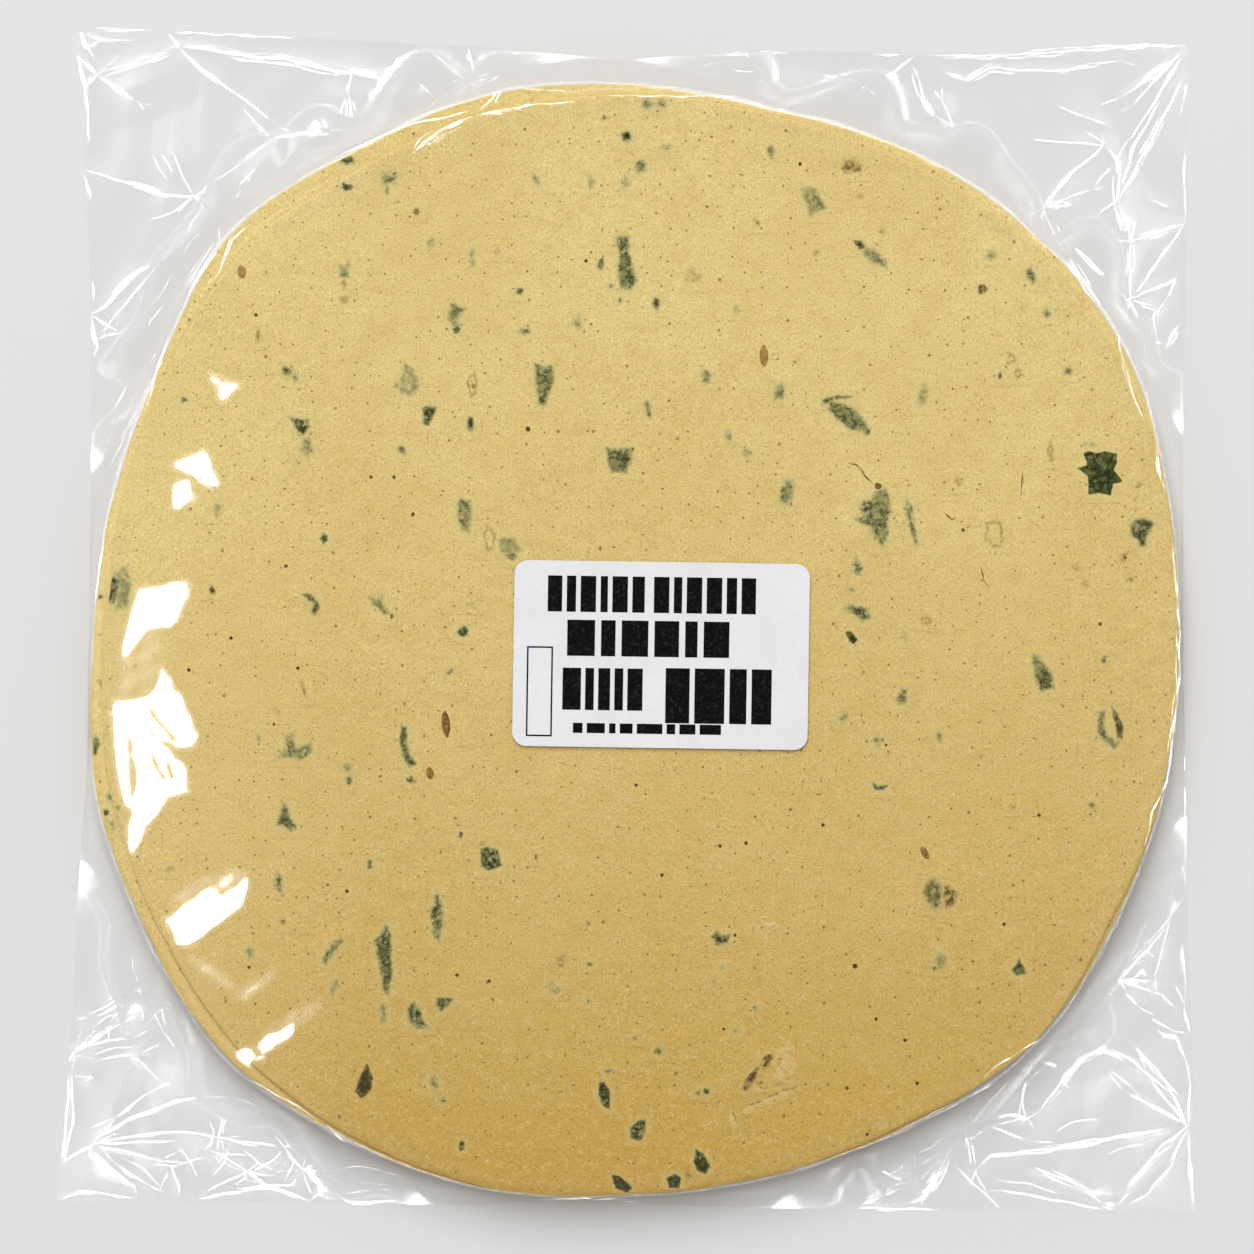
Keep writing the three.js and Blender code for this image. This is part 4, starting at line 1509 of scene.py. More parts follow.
@dataclass(frozen=True)
class BagOutline:
    """The bag's four edges as functions of the other coordinate."""

    top: Array = field(default_factory=lambda: to_mm(EDGE_TOP))
    right: Array = field(default_factory=lambda: to_mm(EDGE_RIGHT)[::-1])
    bottom: Array = field(default_factory=lambda: to_mm(EDGE_BOTTOM))
    left: Array = field(default_factory=lambda: to_mm(EDGE_LEFT)[::-1])
    about: Pair = (190.0, 200.0)
    passes: int = 4

    def warp(self, u: Array, v: Array) -> tuple[Array, Array]:
        """Places points of a unit square inside the bag.

        Args:
            u: shares from the left edge to the right one.
            v: shares from the bottom edge to the top one.

        Returns:
            Their x and y.
        """
        x, y = (u - 0.5) * self.about[0], (v - 0.5) * self.about[1]
        for _ in range(self.passes):
            new_x = self.x_at(self.left, y) * (1.0 - u) + self.x_at(self.right, y) * u
            y = self.y_at(self.bottom, x) * (1.0 - v) + self.y_at(self.top, x) * v
            x = new_x
        return x, y

    def x_at(self, edge: Array, y: Array) -> Array:
        """Returns the x of the left or the right edge at each y."""
        return np.interp(y, edge[:, 1], edge[:, 0])

    def y_at(self, edge: Array, x: Array) -> Array:
        """Returns the y of the top or the bottom edge at each x."""
        return np.interp(x, edge[:, 0], edge[:, 1])

    def inset(self, x: Array, y: Array) -> Array:
        """Finds how far inside the bag's edge points are.

        Args:
            x: the points' x.
            y: the points' y.

        Returns:
            Distances from the nearest edge.
        """
        across = np.minimum(x - self.x_at(self.left, y), self.x_at(self.right, y) - x)
        along = np.minimum(self.y_at(self.top, x) - y, y - self.y_at(self.bottom, x))
        return np.minimum(across, along)


# Creases of the film: width seen, then the line, all in pixels.
CREASES_TOP_LEFT = (
    (3, 94,25.5, 153,28.7), (2.5, 172,29.7, 298,36), (3, 78,29, 84,43), (3, 80,30, 103,37, 115,38),
    (3, 80,31, 83,44, 103,38), (3, 94,73, 75,52.6), (3, 94,72, 176,46), (2.6, 94,76, 176,51), (4, 94,73, 134,98.5),
    (3, 94,73, 83,84), (3, 74.6,52.6, 84,84, 87,141), (3, 177,46, 167,31), (7, 180,44, 210,47, 249,54.5, 281,56,
     326,67, 385,76.5), (3.5, 177,46, 210,74, 264,113, 272,122), (3, 255,122, 268,135),
    (3, 271,137, 278,135, 301,131, 332,133), (3, 329,135, 347,91), (6, 347,91, 353,130), (3, 352,128, 375,120),
    (3, 271,137, 247,157, 193,193), (4, 191,194, 164,195, 153,189, 85,169), (2.5, 191,194, 173,210),
    (2.5, 191,194, 201,204, 210,217), (3, 82,172, 89,195, 84,199), (8, 217,216, 219,236), (5, 216,239, 184,287),
    (3, 157,258, 201,229), (4, 157,258, 126,279, 103,304, 89,313), (2.5, 159,260, 140,282, 117,311),
    (3, 89,313, 95,344, 90,361), (2.5, 89,313, 111,328, 118,330), (2.5, 96,342, 101,334, 117,332),
    (2, 138,309, 168,296), (2, 138,311, 166,309), (2.5, 149,332, 154,355, 147,367),
    (3, 154,367, 134,414, 109,467, 104,470, 103,485), (1.5, 134,365, 115,403, 105,451), (2.5, 90,281, 92,298),
)
CREASES_TOP = (
    (4, 466,80, 445,60, 423,45), (3, 466,80, 436,98, 425,112), (6, 469,82, 500,76),
    (3, 500,74, 515,49, 524,62, 523,75), (2, 404,61, 408,74, 434,96), (3, 467,47, 474,69),
    (2.5, 499,85, 492,99, 480,111), (2, 503,88, 495,103), (3, 587,56, 602,60), (4, 654,64, 684,60, 717,66),
    (3, 715,60, 733,51, 745,50, 761,70, 738,69, 722,62), (2.5, 676,74, 712,75), (3, 761,49, 790,51),
    (5, 751,94, 764,109, 778,111, 798,102), (3, 752,84, 762,78, 773,86), (3, 850,79, 888,74, 914,55),
    (2.5, 850,79, 868,88), (2.5, 896,69, 888,84, 892,102), (2.5, 870,52, 906,53), (3, 929,53, 1000,54),
    (3, 920,74, 923,92, 929,107, 937,114), (3, 937,114, 921,96), (2.5, 943,98, 960,135),
)
CREASES_TOP_RIGHT = (
    (5, 950,53, 989,54, 1124,46, 1188,43), (5, 942,68, 967,79, 991,65, 1024,68, 1057,69),
    (3, 1062,69, 1086,63, 1122,58), (5, 1182,52, 1152,74, 1124,95), (3, 1182,52, 1140,97, 1131,105),
    (3, 1184,54, 1161,93, 1136,132, 1131,136), (4.5, 1185,77, 1163,120, 1122,196), (3, 1163,97, 1136,145, 1124,184),
    (3, 1189,79, 1185,103), (2, 1107,143, 1035,138), (2, 1056,103, 1111,124), (3.5, 1107,143, 1074,171, 1044,206),
    (3.5, 1107,143, 1121,159, 1122,174, 1119,196, 1115,204), (5, 1047,205, 1053,199, 1074,202),
    (4, 1047,205, 1074,203), (2.5, 1044,207, 1093,187), (3.5, 1116,204, 1124,223, 1132,240), (5, 1132,240, 1188,221),
    (5, 1132,240, 1132,299), (3, 1188,221, 1136,295), (3, 1132,298, 1179,277, 1167,300),
    (2.5, 1187,147, 1186,184, 1188,219), (2.5, 1148,198, 1171,205), (6, 1047,215, 1066,252, 1089,289, 1116,319),
    (3, 1063,234, 1101,271, 1130,297), (2.5, 1132,298, 1127,319), (3, 1132,298, 1156,306, 1157,331),
    (4, 1167,349, 1182,321), (5, 1139,335, 1146,338), (3, 1146,352, 1147,400),
)
CREASES_RIGHT = (
    (3, 1172,426, 1178,440, 1172,458), (3, 1184,430, 1178,446), (2, 1185,741, 1187,816),
    (3, 1176,814, 1188,821, 1169,844), (3, 1169,844, 1178,850), (2.5, 1166,811, 1160,827),
    (3, 1185,829, 1184,865, 1188,886), (3, 1185,943, 1188,1002), (3, 1188,1009, 1192,1034),
)
CREASES_BOTTOM_RIGHT = (
    (2.5, 1123,982, 1149,920), (5, 1123,982, 1174,916), (5, 1123,982, 1155,982), (3, 1137,981, 1144,970, 1150,979),
    (2.5, 1174,916, 1156,980), (2.5, 1123,982, 1155,994), (2.5, 1164,997, 1178,1011), (2.5, 1128,995, 1139,1007),
    (2, 1123,982, 1082,1032), (2.5, 1082,1037, 1055,1047), (2.5, 1034,1057, 1000,1100), (2.5, 1034,1057, 1023,1100),
    (3, 1034,1057, 1059,1068, 1048,1073), (4, 1041,1113, 1050,1100, 1080,1063, 1105,1050, 1132,1061, 1175,1097),
    (3, 1132,1047, 1141,1052, 1182,1099), (3, 1157,1029, 1167,1037, 1178,1038, 1187,1057, 1193,1088),
    (2.5, 1150,1018, 1173,1032), (3, 1190,1128, 1126,1093), (3, 1190,1128, 1151,1080), (2.5, 1190,1128, 1167,1080),
    (2.5, 1190,1128, 1193,1080), (4, 1190,1128, 1128,1186), (3, 1190,1128, 1169,1175, 1149,1196, 1128,1209),
    (3, 1190,1128, 1193,1170, 1196,1211), (4, 979,1169, 994,1157, 1043,1152, 1108,1142, 1172,1131),
    (2.5, 967,1129, 979,1090), (3, 967,1129, 1010,1080), (3, 966,1129, 973,1168), (2, 970,1129, 977,1166),
    (3, 989,1120, 1015,1116, 1028,1120, 990,1128), (2.5, 990,1128, 1032,1143), (2.5, 1028,1080, 1023,1106, 1028,1119),
    (5, 1033,1169, 1097,1193), (2.5, 1002,1192, 1102,1211), (2, 958,1170, 1002,1211),
    (4, 1104,1205, 1113,1209, 1122,1205), (3, 907,1184, 878,1171), (3, 917,1168, 946,1152, 930,1183, 925,1186,
     917,1168), (5, 901,1191, 855,1210), (3, 855,1210, 940,1212), (2.5, 930,1188, 921,1210),
)
CREASES_BOTTOM_LEFT = (
    (2.5, 132,970, 139,987), (3, 128,995, 136,990, 143,996, 140,1003), (2.5, 144,998, 161,1033),
    (2.5, 85,1018, 124,996), (2.5, 91,1019, 120,1006, 109,1024), (4, 68,1047, 74,1051, 93,1041, 119,1025),
    (2.5, 73,1053, 67,1062), (2.5, 81,1049, 105,1042, 128,1041), (2.5, 95,1061, 134,1056), (6, 86,1079, 90,1081),
    (6, 134,1061, 138,1063), (2.6, 67,1076, 64,1124, 60,1163), (2.6, 69,1076, 71,1124, 61,1163),
    (3.5, 91,1146, 97,1138, 126,1121, 174,1103, 204,1098, 233,1098), (3, 112,1120, 149,1093),
    (3, 91,1146, 130,1138, 174,1133, 204,1137, 215,1140), (2.5, 91,1146, 174,1143),
    (3, 95,1148, 126,1154, 151,1161, 161,1165), (6, 155,1162, 159,1162), (3.5, 93,1154, 109,1171, 132,1188, 135,1200),
    (3, 112,1165, 151,1190), (2.5, 91,1146, 60,1165), (3, 163,1165, 169,1169, 178,1188, 177,1198),
    (3, 216,1140, 225,1119), (3, 216,1140, 233,1142, 281,1149), (2.5, 213,1155, 246,1173), (3, 283,1149, 301,1172),
    (5, 301,1172, 321,1174), (2.5, 283,1149, 271,1163, 250,1175), (3, 250,1175, 265,1187, 309,1204),
    (2.5, 250,1193, 275,1190, 309,1204), (3, 309,1204, 324,1190, 355,1167), (2, 332,1171, 355,1167, 378,1171,
     406,1178), (3, 337,1197, 347,1204, 365,1205, 400,1202), (2.5, 339,1197, 372,1192),
    (3, 57,1202, 78,1193, 109,1197, 134,1202), (3, 196,1201, 233,1194, 268,1190, 300,1202), (2.5, 204,1194, 246,1173),
    (2.5, 246,1175, 266,1190), (3, 266,1187, 291,1187, 300,1175), (2.5, 467,1201, 482,1205),
    (3, 495,1206, 556,1199, 582,1198, 594,1200, 607,1198, 655,1205),
)
# Fine wisps of crumpled film.
CREASES_FINE = (
    (1.3, 238,186, 246,176, 256,166), (1.3, 232,200, 241,190), (1.6, 243,172, 250,181, 247,190),
    (1.3, 186,222, 174,236, 162,262), (1.3, 206,226, 190,240, 178,262), (1.6, 196,214, 186,232),
    (1.3, 152,152, 157,168, 166,178), (1.3, 170,150, 178,166, 182,180), (1.3, 158,150, 172,172),
    (1.9, 314,150, 330,140, 350,142), (1.9, 310,158, 336,148, 356,146), (1.3, 318,144, 338,152),
    (1.6, 206,262, 190,282, 176,300), (1.3, 196,262, 186,280), (1.6, 168,300, 150,318, 140,338),
    (1.3, 176,268, 160,292, 146,306), (1.3, 126,300, 108,320, 98,336), (1.6, 212,222, 220,238, 214,252),
    (1.3, 152,380, 140,404, 128,430), (1.3, 122,452, 112,478), (1.3, 232,214, 226,226),
    (1.6, 1000,1080, 962,1102, 930,1118), (1.3, 1076,996, 1062,1018, 1048,1030), (1.3, 1130,960, 1120,984, 1098,1004),
    (1.3, 1140,930, 1146,950, 1160,962), (1.3, 1036,1062, 1022,1082, 1014,1104), (1.3, 1052,1136, 1074,1124,
     1102,1120), (1.3, 1070,1064, 1064,1080, 1072,1094), (1.3, 1110,1070, 1128,1084, 1146,1104),
    (1.3, 996,1182, 1030,1186, 1060,1196), (1.3, 1102,1160, 1122,1150, 1146,1146),
    (1.6, 900,1160, 930,1150, 948,1136), (1.3, 912,1194, 926,1176, 944,1160), (1.3, 890,1178, 906,1164),
    (1.3, 876,1196, 898,1186, 930,1180), (1.3, 932,1196, 946,1178, 952,1158), (1.3, 122,1160, 140,1170, 160,1190),
    (1.3, 176,1146, 186,1160, 196,1180), (1.3, 228,1146, 222,1166, 210,1180), (1.3, 150,1166, 174,1168, 206,1158),
    (1.3, 240,1150, 258,1166, 286,1178), (1.3, 196,1150, 222,1156, 250,1158), (1.3, 206,1120, 212,1134, 208,1152),
    (1.3, 222,1112, 218,1136, 224,1158), (1.3, 166,1172, 160,1190), (1.3, 286,1150, 292,1166, 284,1184),
    (1.3, 344,1172, 360,1184, 386,1188), (1.3, 104,1012, 122,1000, 132,990), (1.3, 88,1032, 104,1018, 122,1014),
    (1.3, 150,992, 160,1012, 164,1030), (1.3, 156,996, 172,1010, 174,1028), (1.3, 178,1020, 196,1034),
    (1.3, 92,1056, 112,1050, 134,1048),
)
# Bright lines where the film turns over the stack's rim.
CREASES_RIM = (
    (3, 1116,329, 1119,346, 1131,389, 1144,424), (3, 1155,440, 1160,474, 1166,498),
    (3.5, 1172,546, 1179,620, 1179,680, 1174,723, 1167,782, 1160,794, 1151,816, 1145,845),
    (1.6, 1123,915, 1105,943, 1100,968), (1.6, 1087,977, 1073,999, 1053,1027), (1.6, 1046,1036, 1003,1061, 980,1079),
    (3, 1144,364, 1151,410), (8, 413,154, 424,143, 444,129, 474,116), (3, 474,116, 531,105, 576,102),
    (2.5, 469,112, 408,125, 326,161), (2, 518,88, 589,94), (2, 610,96, 740,97, 765,108),
    (3, 250,225, 232,240, 220,270, 213,282), (3, 218,250, 186,296), (2.5, 169,332, 153,384, 145,413),
    (2.5, 104,540, 95,600), (1.9, 250,1080, 296,1105, 319,1121), (1.9, 324,1123, 347,1144),
)
ALL_CREASES = (
    CREASES_TOP_LEFT + CREASES_TOP + CREASES_TOP_RIGHT + CREASES_RIGHT
    + CREASES_BOTTOM_RIGHT + CREASES_BOTTOM_LEFT + CREASES_FINE + CREASES_RIM
)

# Bulges of the film that shine: how strongly, then the outline in pixels. Below zero it cuts into the others.
BULGES = (
    (1.0, 187,584, 186,592, 176,618, 168,624, 145,627, 137,640, 125,655, 131,625, 141,592),
    (1.0, 162,672, 180,700, 195,735, 192,745, 180,746, 160,735, 140,715, 127,703, 150,700, 158,690),
    (1.0, 117,702, 122,705, 128,770, 130,805, 126,800, 119,760, 115,715), (1.0, 127,708, 150,735, 168,752, 183,768,
     186,790, 165,797, 155,812, 140,835, 133,850, 130,838, 134,805, 141,780, 133,745),
    (1.0, 177,465, 204,453, 216,483, 210,486, 199,476), (1.0, 176,485, 187,482, 188,491, 193,497, 176,506),
    (1.0, 168,920, 202,895, 214,892, 222,898, 237,885, 246,880, 240,905, 225,915, 205,930, 190,945, 178,940),
    (0.8, 258,1046, 270,1034, 292,1026, 290,1034, 276,1044, 262,1052), (0.8, 242,1051, 250,1051, 262,1057, 254,1060,
     245,1058), (0.22, 125,632, 160,632, 165,660, 150,690, 120,700), (0.6, 210,375, 240,385, 222,402),
    (0.42, 192,958, 206,962, 226,978, 236,990, 222,984, 204,972), (0.42, 236,996, 252,982, 274,970, 262,986, 246,997),
    (0.42, 270,1030, 292,1014, 322,1002, 312,1014, 296,1026, 280,1038), (0.42, 172,900, 200,880, 236,868, 246,876,
     226,892, 196,904), (-0.75, 150,752, 155,756, 166,777, 164,781, 153,766), (-0.7, 165,757, 169,761, 176,780,
     173,782, 167,771), (-0.7, 151,707, 176,738, 181,748, 165,733, 148,712),
)


# Places where the film lies calm and shines little: a centre and a radius, in pixels.
CALM_SPOTS = ((248, 164, 34), (120, 672, 10), (1090, 1032, 14), (899, 1174, 20), (1114, 1164, 26))


@dataclass
class FilmSurface:
    """Height of the film's upper side anywhere in the bag."""

    shape: StackShape
    outline: BagOutline
    clearance: float = 0.2
    rim_step: float = 0.16
    step_length: float = 1.5
    slack: float = 0.35
    drape: float = 5.6
    seam_tight: float = 4.4
    seam_loose: float = 0.75
    tight_margin: float = 5.0
    bag_reach: tuple[float, ...] = (97.0, 93.0, 98.0, 101.0)
    crumple_slope: float = 0.03
    tent_height: float = 0.14
    tent_width: float = 1.0
    tent_reach: float = 5.0
    full_crease: float = 5.0
    bulge_tilt: float = 0.30
    bulge_waves: Pair = (0.22, 3.2)
    rim_dullness: float = 0.9
    calm_dullness: float = 0.62

    def seam_height(self, x: Array, y: Array) -> Array:
        """Finds the height of the bag's seam, which lies higher where the bag is tight.

        Args:
            x: the points' x.
            y: the points' y.

        Returns:
            The seam's height nearest each point.
        """
        _, angle = self.shape.polar(x, y)
        east = np.cos(angle)
        north = np.sin(angle)
        reach = self.shape.stack_reach.at(angle)
        right, left, top, bottom = self.bag_reach
        half_width = np.where(east > 0, right - STACK_CENTRE[0], left + STACK_CENTRE[0])
        half_height = np.where(north > 0, top - STACK_CENTRE[1], bottom + STACK_CENTRE[1])
        edge = np.minimum(half_width / np.maximum(np.abs(east), 1e-3), half_height / np.maximum(np.abs(north), 1e-3))
        margin = np.maximum(edge - reach, 0.0)
        return self.seam_loose + (self.seam_tight - self.seam_loose) * np.exp(-((margin / self.tight_margin) ** 2))

    def crumple(self, x: Array, y: Array) -> Array:
        """Makes the many flat facets of crumpled film.

        Args:
            x: the points' x.
            y: the points' y.

        Returns:
            Their height at each point.
        """
        draw = random.Random(23)
        bend_x, bend_y = Waves(31, 34.0).at(x, y) * 1.7, Waves(32, 34.0).at(x, y) * 1.7
        total = np.zeros(np.shape(x))
        for index, period in enumerate((8.0, 11.0, 15.0, 21.0, 29.0)):
            heading = draw.uniform(0.0, math.pi)
            along = (x + bend_x) * math.cos(heading) + (y + bend_y) * math.sin(heading)
            turn = along / period + draw.uniform(0.0, 1.0)
            ramp = np.abs(turn - np.floor(turn) - 0.5) * 2.0
            strength = 0.55 + 0.45 * Waves(50 + index, 50.0).at(x, y)
            total = total + ramp * period / 2.0 * self.crumple_slope * strength
        return total - 0.22

    def tents(self, x: Array, y: Array) -> Array:
        """Makes the low ridges that the film has along its creases.

        Args:
            x: the points' x.
            y: the points' y.

        Returns:
            Their height at each point.
        """
        total = np.zeros(x.shape)
        for width, *line in ALL_CREASES:
            run = to_mm(line)
            low, high = run.min(axis=0) - self.tent_reach, run.max(axis=0) + self.tent_reach
            near = (x > low[0]) & (x < high[0]) & (y > low[1]) & (y < high[1])
            if not near.any():
                continue
            gap = segment_distance(x[near], y[near], run)
            strength = self.tent_height * min(1.0, width / self.full_crease)
            total[near] = np.maximum(total[near], strength * np.exp(-gap / self.tent_width))
        return total

    def height(self, x: Array, y: Array) -> Array:
        """Gives the film's height.

        Args:
            x: the points' x.
            y: the points' y.

        Returns:
            The height of each in millimetres.
        """
        radius, angle = self.shape.polar(x, y)
        top_reach = self.shape.top_reach.at(angle)
        stack_reach = self.shape.stack_reach.at(angle)
        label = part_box("label")
        east = np.maximum(np.maximum(label[0].x / MM - x, x - label[1].x / MM), 0.0)
        north = np.maximum(np.maximum(label[0].y / MM - y, y - label[1].y / MM), 0.0)
        under_label = smooth(1.0 - np.hypot(east, north) / 12.0)
        top = self.shape.top(x, y) + self.clearance
        top = top * (1.0 - under_label) + (label[0].z / MM - 0.015) * under_label
        spread = smooth((stack_reach - top_reach) / 1.2)
        step = smooth((radius - top_reach - 0.1) / self.step_length) * self.rim_step * spread
        outside = radius - stack_reach - self.slack
        seam = self.seam_height(x, y)
        inset = self.outline.inset(x, y)
        fall = np.clip(outside / self.fall_length(x, y, outside, inset), 0.0, 1.0)
        base = (top - step) * (1.0 - fall) + seam * fall
        loose = smooth((outside - 0.8) / 5.0) * smooth((inset - 0.4) / 10.0)
        ridge = self.tents(x, y) * (0.35 + 0.65 * smooth(outside / 2.0)) * smooth((inset + 0.3) / 2.5)
        return base + self.crumple(x, y) * loose + ridge

    def fall_length(self, x: Array, y: Array, outside: Array, inset: Array) -> Array:
        """Gives how far outwards the film falls from the stack's rim to the seam's height.

        Args:
            x: the points' x.
            y: the points' y.
            outside: their distance outside the stack.
            inset: their distance inside the bag's edge.

        Returns:
            The length at each point.
        """
        room = np.maximum(outside, 0.0) + np.maximum(inset, 0.0)
        length = self.drape * (1.25 + 0.55 * Waves(81, 17.0).at(x, y) * smooth((room - 3.0) / 8.0))
        return np.maximum(np.minimum(length, room * 0.92), 0.4)

    def is_loose(self, x: Array, y: Array) -> bool:
        """Tells whether points lie on film between the stack and the bag's edge.

        Args:
            x: the points' x.
            y: the points' y.

        Returns:
            True if all of them do.
        """
        radius, angle = self.shape.polar(x, y)
        clear_of_stack = radius - self.shape.stack_reach.at(angle) > 1.5
        return bool((clear_of_stack & (self.outline.inset(x, y) > 0.6)).all())

    def dullness(self, x: Array, y: Array) -> Array:
        """Tells where the film is stretched round the rim and shines little.

        Args:
            x: the points' x.
            y: the points' y.

        Returns:
            Values from 0 where it shines to 1 where it doesn't.
        """
        radius, angle = self.shape.polar(x, y)
        outside = radius - self.shape.stack_reach.at(angle) - self.slack
        past = outside - self.fall_length(x, y, outside, self.outline.inset(x, y))
        rim = smooth((radius - self.shape.top_reach.at(angle) + 1.2) / 0.9) * (1.0 - smooth((outside - 0.7) / 1.0))
        foot = smooth((past + 2.3) / 1.0) * (1.0 - smooth((past - 1.3) / 1.6))
        calm = 1.0 - smooth((radius - self.shape.top_reach.at(angle) + 4.0) / 3.0)
        flat = 1.0 - smooth(-self.lean(x, y)[:, 0] / 0.1)
        for px, py, reach in CALM_SPOTS:
            middle = to_mm((px, py))[0]
            gap = np.hypot(x - middle[0], y - middle[1]) * PIXELS_PER_MM / reach
            foot = np.maximum(foot, smooth((1.3 - gap) / 0.6))
        return np.maximum(self.rim_dullness * np.maximum(0.9 * rim, foot), self.calm_dullness * calm) * flat

    def lean(self, x: Array, y: Array) -> Array:
        """Finds how the film's bulges turn its normal.

        Args:
            x: the points' x.
            y: the points' y.

        Returns:
            What is added to the normal, one row each.
        """
        total = np.zeros((len(x), 3))
        for strength, *line in BULGES:
            ring = to_mm(line)
            low, high = ring.min(axis=0) - 2.0, ring.max(axis=0) + 2.0
            near = (x > low[0]) & (x < high[0]) & (y > low[1]) & (y < high[1])
            depth = signed_depth(x[near], y[near], ring)
            if strength < 0.0:
                total[near, 0] *= 1.0 + strength * smooth((depth + 0.3) / 0.6)
                continue
            uneven = 1.0 + self.bulge_waves[0] * Waves(61, self.bulge_waves[1]).at(x[near], y[near])
            share = smooth((depth + 1.7) / 2.6) * strength * self.bulge_tilt * uneven
            total[near, 0] = np.minimum(total[near, 0], -share)
        return total


@dataclass
class FilmBag:
    """The clear bag: one closed sheet round the stack."""

    surface: FilmSurface
    material: Material
    cells: tuple[int, int] = (240, 384)
    outer_share: float = 0.22
    outer_cells: Pair = (0.36, 0.26)
    inside: float = 0.03
    lower_dullness: float = 0.85
    tuck: float = 40.0
    sheet: float = 0.1

    def spread(self, share: Array, outer_cells: float) -> Array:
        """Sets rows of cells closer together near both ends.

        Args:
            share: evenly spread places from 0 to 1.
            outer_cells: the share of all cells that each end takes.

        Returns:
            The uneven places from 0 to 1.
        """
        return np.interp(
            share,
            (0.0, outer_cells, 1.0 - outer_cells, 1.0),
            (0.0, self.outer_share, 1.0 - self.outer_share, 1.0),
        )

    def build(self) -> Piece:
        """Models the bag.

        Returns:
            The piece.
        """
        bm = bmesh.new()
        bmesh.ops.create_grid(bm, x_segments=self.cells[0], y_segments=self.cells[1], size=1.0)
        leaning = bm.verts.layers.float_vector.new("lean")
        dulled = bm.verts.layers.float.new("dull")
        verts = list(bm.verts)
        square = places(verts)
        u, v = (self.spread((square[:, axis] + 1.0) / 2.0, self.outer_cells[axis]) for axis in (0, 1))
        x, y = kept_inside(*self.surface.outline.warp(u, v))
        put(verts, x, y, self.surface.height(x, y))
        mark(verts, dulled, self.surface.dullness(x, y))
        for vert, tilt in zip(verts, self.surface.lean(x, y)):
            vert[leaning] = tilt
        self.underside(bm)
        piece = finish_piece(bm, "film_bag", self.material, Slot.FILM)
        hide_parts("bag")
        return piece

    def underside(self, bm: Mesh) -> None:
        """Closes the bag below the stack.

        Args:
            bm: the mesh being built.
        """
        dulled = bm.verts.layers.float["dull"]
        edge = [e for e in bm.edges if e.is_boundary]
        for share, lowest in ((0.0, None), (0.45, None), (1.0, self.inside), (1.35, self.inside)):
            for item in edge:
                item.smooth = False
            edge, verts = extruded(bm, edge)
            for vert in verts:
                self.place_under(vert, share, lowest)
                vert[dulled] = self.lower_dullness if share else 0.0
        bmesh.ops.contextual_create(bm, geom=edge)
        bmesh.ops.recalc_face_normals(bm, faces=bm.faces)

    def place_under(self, vert: bmesh.types.BMVert, share: float, lowest: float | None) -> None:
        """Moves a vertex of the underside inwards and down.

        Args:
            vert: the vertex, which starts above its place.
            share: how far it goes from the seam to the stack's foot.
            lowest: its height, or None to stay between the seam and the foot.
        """
        if share == 0.0:
            vert.co.z -= self.sheet
            return
        x, y = np.array([vert.co.x]), np.array([vert.co.y])
        radius, angle = self.surface.shape.polar(x, y)
        foot = float(self.surface.shape.stack_reach.at(angle)[0]) + 0.6
        gap = max(float(radius[0]) - foot, 0.3)
        eased = 0.6 if share == 1.0 else 1.0
        move = min(share, 1.0) * gap * eased + max(0.0, share - 1.0) * self.tuck
        away = Vector((math.cos(float(angle[0])), math.sin(float(angle[0])), 0.0))
        vert.co -= away * move
        vert.co.z = vert.co.z * (1.0 - share) if lowest is None else lowest


